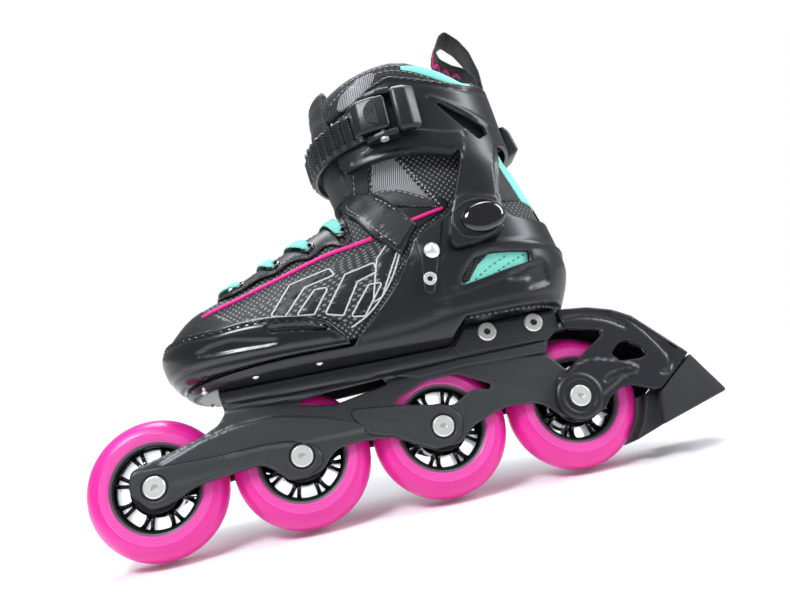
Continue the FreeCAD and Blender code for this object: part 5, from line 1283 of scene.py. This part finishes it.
def make_collar():
    angles = np.linspace(THROAT_ANGLE, 2 * math.pi - THROAT_ANGLE, 150)
    x = form(angles, 250.0, 0)[:, 0]
    low = np.interp(x, SEAM_LINE[:, 0], SEAM_LINE[:, 1]) + 0.4
    high = np.interp(x, COLLAR_TOP[:, 0], COLLAR_TOP[:, 1])
    to_end = np.minimum(angles - THROAT_ANGLE, 2 * math.pi - THROAT_ANGLE - angles)
    fullness = 0.55 + 0.45 * np.clip(to_end / 0.10, 0, 1) ** 0.5
    middle = (low + high) / 2
    low, high = middle - (middle - low) * fullness, middle + (high - middle) * fullness
    band = pad_ring(angles, low, high, -6.0, 3.3)
    collar = add("collar_pad", band, fine_mesh, CUFF, ["collar"], flat=True, sharp=80)
    inner = slice(8, -8)
    band = pad_ring(angles[inner], low[inner] - 22, high[inner] - 6, -7.4, -3.4)
    cushion = add("collar_lining_pad", band, lining, CUFF, flat=True, sharp=80)

    add("collar_side_panel", wrap(COLLAR_PANEL, 2.7, 3.8, rim=0.7, spacing=2.0), grip_cloth, CUFF, flat=True,
        sharp=40)
    trims, threads = [], []
    for side in SIDES:
        line, up = side_path(COLLAR_RIBBON, side, 2.7)
        taper = 0.45 + 0.55 * np.sin(np.linspace(0.15, 2.9, len(line)))
        trims.append(sweep(line, up, oval(6.4, 2.2, 14), taper, taper))
        threads += [stitches(*side_path(route, side, 3.3), 2.2, 1.5, 0.55, 0.45) for route in COLLAR_SEAMS]
    add("collar_trim", joined(trims), turquoise_trim, CUFF)
    add("collar_stitching", joined(threads), thread, CUFF)


TONGUE_LOW, TONGUE_TOP = 188, 262.4


def make_tongue():
    share = np.linspace(0, 1, 60)[:, None]
    heights = TONGUE_LOW + (TONGUE_TOP - TONGUE_LOW) * share
    c, s = oval(2, 2, 40, 2.5).T[:, None]
    close = np.clip((1 - share) / 0.05, 0.02, 1) ** 0.4
    quilt = 0.5 * np.sin(share * math.pi * 7) ** 2
    a = THROAT_ANGLE * s * (0.86 + 0.14 * close)
    points = form(a, heights, -0.6 + 5.2 * c * close - quilt * (c > 0.3))
    tongue = add("tongue_pad", tube(points, pairs(a * 50, heights)), fine_mesh, stands_for=["tongue"],
                 fold=FRONT_FOLD, flat=True, sharp=80)


def at_heel(y, z, offset):
    """Points on the heel side of the form at given distances from the middle plane."""
    low, high = np.full(np.shape(y), math.pi / 2), np.full(np.shape(y), math.pi)
    for _ in range(30):
        a = (low + high) / 2
        wide = form(a, z, 0.0)[..., 1] > np.abs(y)
        low, high = np.where(wide, a, low), np.where(wide, high, a)
    return form(np.where(y < 0, -low, low), z, offset)


def make_back_stay():
    outline = rounded([(-10.5, 150, 1), (10.5, 150, 1), (10.5, 199.6, 2), (-10.5, 199.6, 2)], 2)
    add("back_stay_visual", plate(outline, [], lambda p, h: at_heel(p[:, 0], p[:, 1], h), 0.6, 1.7, 0.8, 2.6),
        turquoise, stands_for=["back_stay"], fold=REAR_FOLD, flat=True, sharp=50)
    edges = []
    for side in SIDES:
        z = np.linspace(151, 198.5, 40)
        y = np.full(40, side * 10.4)
        foot = at_heel(y, z, 1.4)
        edges.append(sweep(foot, at_heel(y, z, 2.4) - foot, oval(2.2, 1.2, 10)))
    add("back_stay_edges", joined(edges), leather, fold=REAR_FOLD)


PULL_OUTER = [
    (117.6, 250.2, 0.3), (121.4, 252, 3), (121.6, 266, 12), (118.6, 282, 16), (113.4, 292, 12), (105.5, 300.5, 3),
    (100.4, 297, 4), (95, 287, 6), (96.4, 279, 8), (104, 272.6, 10), (111.6, 269, 8), (116.4, 262, 5),
]
PULL_WIDTH, PULL_THICKNESS = 19.6, 1.5
ZIGZAG_REACH, ZIGZAG_PITCH = 4.2, 7.0


def make_pull_loop():
    outer = rounded(PULL_OUTER, 1.2)
    tangent = np.roll(outer, -1, axis=0) - np.roll(outer, 1, axis=0)
    tangent /= np.linalg.norm(tangent, axis=1)[:, None]
    none = np.zeros(len(outer))
    surface = np.stack([outer[:, 0], none, outer[:, 1]], 1)
    inward = np.stack([-tangent[:, 1], none, tangent[:, 0]], 1)
    across = np.array([0, 1.0, 0])
    section = oval(PULL_WIDTH, PULL_THICKNESS, 24, 5.0)
    centre = surface + inward * PULL_THICKNESS / 2
    rings = centre[:, None] + section[None, :, 1:] * inward[:, None] + section[None, :, :1] * across
    points, faces = grid(rings, True, True)
    flats = pairs(distances(centre)[:, None], section[None, :, 0])
    add("pull_loop_visual", (points, faces, flats), webbing, CUFF, ["pull_tab"], flat=True, sharp=60)
    front = np.where((outer[:, 0] < 112) & (outer[:, 1] > 265) & (outer[:, 1] < 293))[0]
    front = front[surface[front][:, 2].argsort()]
    line = surface[front] - inward[front] * 0.15
    along = distances(line)
    s = np.linspace(1, along[-1] - 1, 90)
    zigzag = ZIGZAG_REACH * (2 * np.abs((s / ZIGZAG_PITCH) % 1 - 0.5) - 0.5) * 2
    path = resampled(line, along, s) + zigzag[:, None] * across
    out = resampled(-inward[front], along, s)
    add("pull_loop_zigzag", sweep(path, out, oval(2.4, 0.8, 8)), piping_pink, CUFF)


make_collar()
make_tongue()
make_back_stay()
make_pull_loop()

# ---------------------------------------------------------------- rear hood, ladder strap and buckle
REAR_HOOD = [(126.6, 224, 2), (130, 219.5, 6), (133, 206, 2), (128, 202.5, 2), (123.6, 200.5, 0.5),
             (123.4, 223.5, 0.5)]
LADDER = [
    (42, 234, 3), (28, 232, 20), (10, 229, 30), (-20, 229, 0), (-20, 210, 0), (10, 210, 30), (28, 211, 20),
    (43, 213, 3),
]
TOOTH_PITCH, TOOTH_HEIGHT, TOOTH_END = 9.0, 1.9, 74
LADDER_MIDDLE, LADDER_HALF = 220.5, 8.4


def ladder_relief(p):
    """Broad steps that climb towards the buckle, between two plain borders."""
    share = (p[:, 2] / TOOTH_PITCH) % 1.0
    teeth = TOOTH_HEIGHT * np.clip(share / 0.86, 0, 1) * (share < 0.93) * (p[:, 2] < TOOTH_END)
    return teeth / (1 + (np.abs(p[:, 1] - LADDER_MIDDLE) / LADDER_HALF) ** 24) - 0.3


add("rear_hood_visual", slab(REAR_HOOD, 11, 2.0, 1.2, 2.4), plastic, CUFF, ["rear_hood"], sharp=35)
add("ladder_strap_visual", wrap(LADDER, 8.0, 10.4, rim=0.9, spacing=1.1, relief=ladder_relief), plastic, CUFF,
    ["ladder_strap"], sharp=28, weld=True)

# The buckle's outlines are (u, v, corner radius) in its own plan: u towards the heel, v outwards.
BUCKLE_ORIGIN = (45.0, -49.7)
BUCKLE_TURN = math.radians(-12.0)
BASE_REAR = [(5.4, 0.5, 0.4), (5.4, 7.4, 2), (8, 9.2, 3), (15, 8.2, 6), (20.5, 3.6, 2), (20.5, 0.5, 0.3)]
BASE_EAR = [(-13, 0.8, 0.4), (-14, 4.4, 1.5), (-9, 7.2, 3), (-3, 9.2, 4), (6, 8.6, 0), (6, 0.5, 0)]
LEVER_PLAN = [
    (-19.0, 3.6, 0.8), (-19.6, 6.4, 1.5), (-15, 9.6, 5), (-6, 11.0, 8), (1.6, 10.2, 2), (2.4, 7.2, 1),
    (0.0, 4.6, 2.2), (-3, 4.2, 1), (-14.5, 5.2, 1),
]
LEVER_FACE = ((-19.0, -15, -10.5, -6, -2, 1.6), (7.0, 9.3, 10.5, 10.75, 10.6, 10.0))
THUMB_U, THUMB_Z, THUMB_RADIUS, DIMPLE_PITCH = -4.0, 222.3, 8.0, 2.2


def on_buckle(u, v, z):
    """Points from the buckle's own frame."""
    c, s = math.cos(BUCKLE_TURN), math.sin(BUCKLE_TURN)
    x, y = BUCKLE_ORIGIN[0] + u * c + v * s, BUCKLE_ORIGIN[1] + u * s - v * c
    return np.stack([x, y, np.asarray(z, float)], 1)


def plan_bar(corners, low, high, rim):
    """Bar with an outline in the buckle's plan, between two heights."""
    return plate(rounded(corners, 0.8), [], lambda p, h: on_buckle(p[:, 0], p[:, 1], h), low, high, rim, 2.0,
                 back_rim=rim)


def on_lever(p, h):
    """Heights above the lever's curved outer face."""
    return on_buckle(p[:, 0], np.interp(p[:, 0], *LEVER_FACE) + h, p[:, 1])


def dimples(p):
    """Grip texture of the thumb pad."""
    cycle = 2 * math.pi / DIMPLE_PITCH
    return -0.45 * (np.cos(p[:, 0] * cycle) * np.cos((p[:, 1] - THUMB_Z) * cycle) > 0.35)


def make_buckle():
    parts = [plan_bar(BASE_REAR, 208.6, 237.6, 3.4), plan_bar(BASE_EAR, 206.6, 210.6, 1.0),
             plan_bar(BASE_EAR, 234.0, 237.6, 1.0)]
    add("buckle_base_visual", joined(parts), plastic, CUFF, ["buckle_base"], sharp=35)
    add("buckle_lever_visual", plan_bar(LEVER_PLAN, 211.4, 233.2, 2.4), plastic, "buckle_lever",
        ["buckle_lever"], sharp=35)
    half_disc = np.array([(THUMB_U - THUMB_RADIUS * math.sin(t), THUMB_Z + THUMB_RADIUS * math.cos(t))
                          for t in np.linspace(0, math.pi, 24)])
    pad = plate(densify(half_disc, 1.0), [], on_lever, -0.3, 0.95, 0.4, 0.55, dimples)
    add("buckle_thumb_pad", pad, rubber, "buckle_lever", flat=True, sharp=30)


make_buckle()

# ---------------------------------------------------------------- what keeps its CAD shape
KEPT = {"bearing_inner_rings": bearing_steel, "wheel_spacers": alloy, "mount_block": gunmetal, "insole": foam}
KEPT.update(dict.fromkeys((
    "axle_screws", "axle_sleeves", "side_bolts", "brake_pad_bolt", "deck_screws", "deck_nuts", "sole_tacks",
    "arm_rivets", "pivot_bolts", "pivot_nuts", "rear_hood_screw", "buckle_lever_pin", "pawl_pin", "pawl_spring",
    "buckle_pawl", "strap_anchor"), steel))
for number in WHEELS:
    KEPT["bearing_outer_rings_%d" % number] = bearing_steel
    KEPT["bearing_balls_%d" % number] = bearing_steel
for name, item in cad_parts.items():
    if not item.hide_render:
        item.data.materials.clear()
        item.data.materials.append(KEPT[name])

# ---------------------------------------------------------------- light, floor and camera
AMBIENT = 0.32  # strength of the white world on the object; the camera sees it at 1
world = bpy.data.worlds.new("white_studio")
scene.world = world
world.use_nodes = True
background = world.node_tree.nodes["Background"]
background.inputs["Color"].default_value = (1, 1, 1, 1)
seen = world.node_tree.nodes.new("ShaderNodeLightPath")
strength = node(world.node_tree, "ShaderNodeMapRange", To_Min=AMBIENT, To_Max=1.0)
world.node_tree.links.new(seen.outputs["Is Camera Ray"], strength.inputs["Value"])
world.node_tree.links.new(strength.outputs["Result"], background.inputs["Strength"])


def area_light(name, place, target, size, power):
    lamp = bpy.data.lights.new(name, "AREA")
    lamp.shape = "RECTANGLE"
    lamp.size, lamp.size_y = size
    lamp.energy = power
    lamp.color = (0.9, 0.95, 1.0)
    item = bpy.data.objects.new(name, lamp)
    item.location = place
    item.rotation_euler = (Vector(target) - Vector(place)).to_track_quat("-Z", "Y").to_euler()
    scene.collection.objects.link(item)


area_light("key_light", (-0.55, -0.75, 0.95), (0.02, 0, 0.14), (0.5, 0.4), 16.0)
area_light("top_light", (0.1, 0.15, 1.1), (0, 0, 0.15), (0.8, 0.5), 14.0)
area_light("rim_light", (0.8, -0.35, 0.55), (0.05, 0, 0.15), (0.25, 0.7), 7.0)

FLOOR_TILT = math.radians(20.0)  # the photograph's skate leans away, so the floor is turned under it
FLOOR_REACH = 3.0
FADE = (0.22, 0.55)  # distance over which the floor turns into plain white
TYRE_CONTACT = TYRE_RADIUS * MM


def floor_material():
    """Pale floor that fades to white with distance and can't be seen from below."""
    mat = bpy.data.materials.new("pale_floor")
    mat.use_nodes = True
    tree = mat.node_tree
    shader = tree.nodes["Principled BSDF"]
    shader.inputs["Base Color"].default_value = (0.93, 0.93, 0.93, 1)
    shader.inputs["Roughness"].default_value = 0.35
    far, clear, fade, mix, place, away, facing = (tree.nodes.new("ShaderNode" + kind) for kind in (
        "Emission", "BsdfTransparent", "MixShader", "MixShader", "TexCoord", "VectorMath", "NewGeometry"))
    away.operation = "LENGTH"
    for source, target in (
        (place.outputs["Object"], away.inputs[0]),
        (ramp(tree, away.outputs["Value"], *FADE), fade.inputs["Fac"]),
        (shader.outputs["BSDF"], fade.inputs[1]), (far.outputs["Emission"], fade.inputs[2]),
        (facing.outputs["Backfacing"], mix.inputs["Fac"]),
        (fade.outputs["Shader"], mix.inputs[1]), (clear.outputs["BSDF"], mix.inputs[2]),
        (mix.outputs["Shader"], tree.nodes["Material Output"].inputs["Surface"]),
    ):
        tree.links.new(source, target)
    return mat


floor_mesh = bpy.data.meshes.new("floor")
floor_corners = ((-1, -1), (1, -1), (1, 1), (-1, 1))
floor_mesh.from_pydata([(x * FLOOR_REACH, y * FLOOR_REACH, 0) for x, y in floor_corners], [], [(0, 1, 2, 3)])
floor = bpy.data.objects.new("floor", floor_mesh)
scene.collection.objects.link(floor)
floor.rotation_euler = (FLOOR_TILT, 0, 0)
contact = TYRE_CONTACT - TYRE_CONTACT * math.cos(FLOOR_TILT) - 0.001
floor.location = (0, 0, contact - 0.012 * math.sin(FLOOR_TILT))
floor_mesh.materials.append(floor_material())

# Camera fitted to the photograph: focal length in its pixels, and the pose as rows of directions.
FOCAL, IMAGE_WIDTH, SENSOR = 893.6, 790.0, 36.0
camera_data = bpy.data.cameras.new("camera")
camera_data.sensor_width = SENSOR
camera_data.lens = FOCAL * SENSOR / IMAGE_WIDTH
camera_data.clip_end = 20.0
camera = bpy.data.objects.new("camera", camera_data)
scene.collection.objects.link(camera)
right, up, ahead = (0.97225, -0.08188, -0.21914), (0.18664, -0.29326, 0.93764), (0.14104, 0.95252, 0.26984)
eye = (-0.04541, -0.52473, -0.02758)
camera.matrix_world = Matrix([(right[i], up[i], -ahead[i], eye[i]) for i in range(3)] + [(0, 0, 0, 1)])
scene.camera = camera
scene.view_settings.view_transform = "Standard"
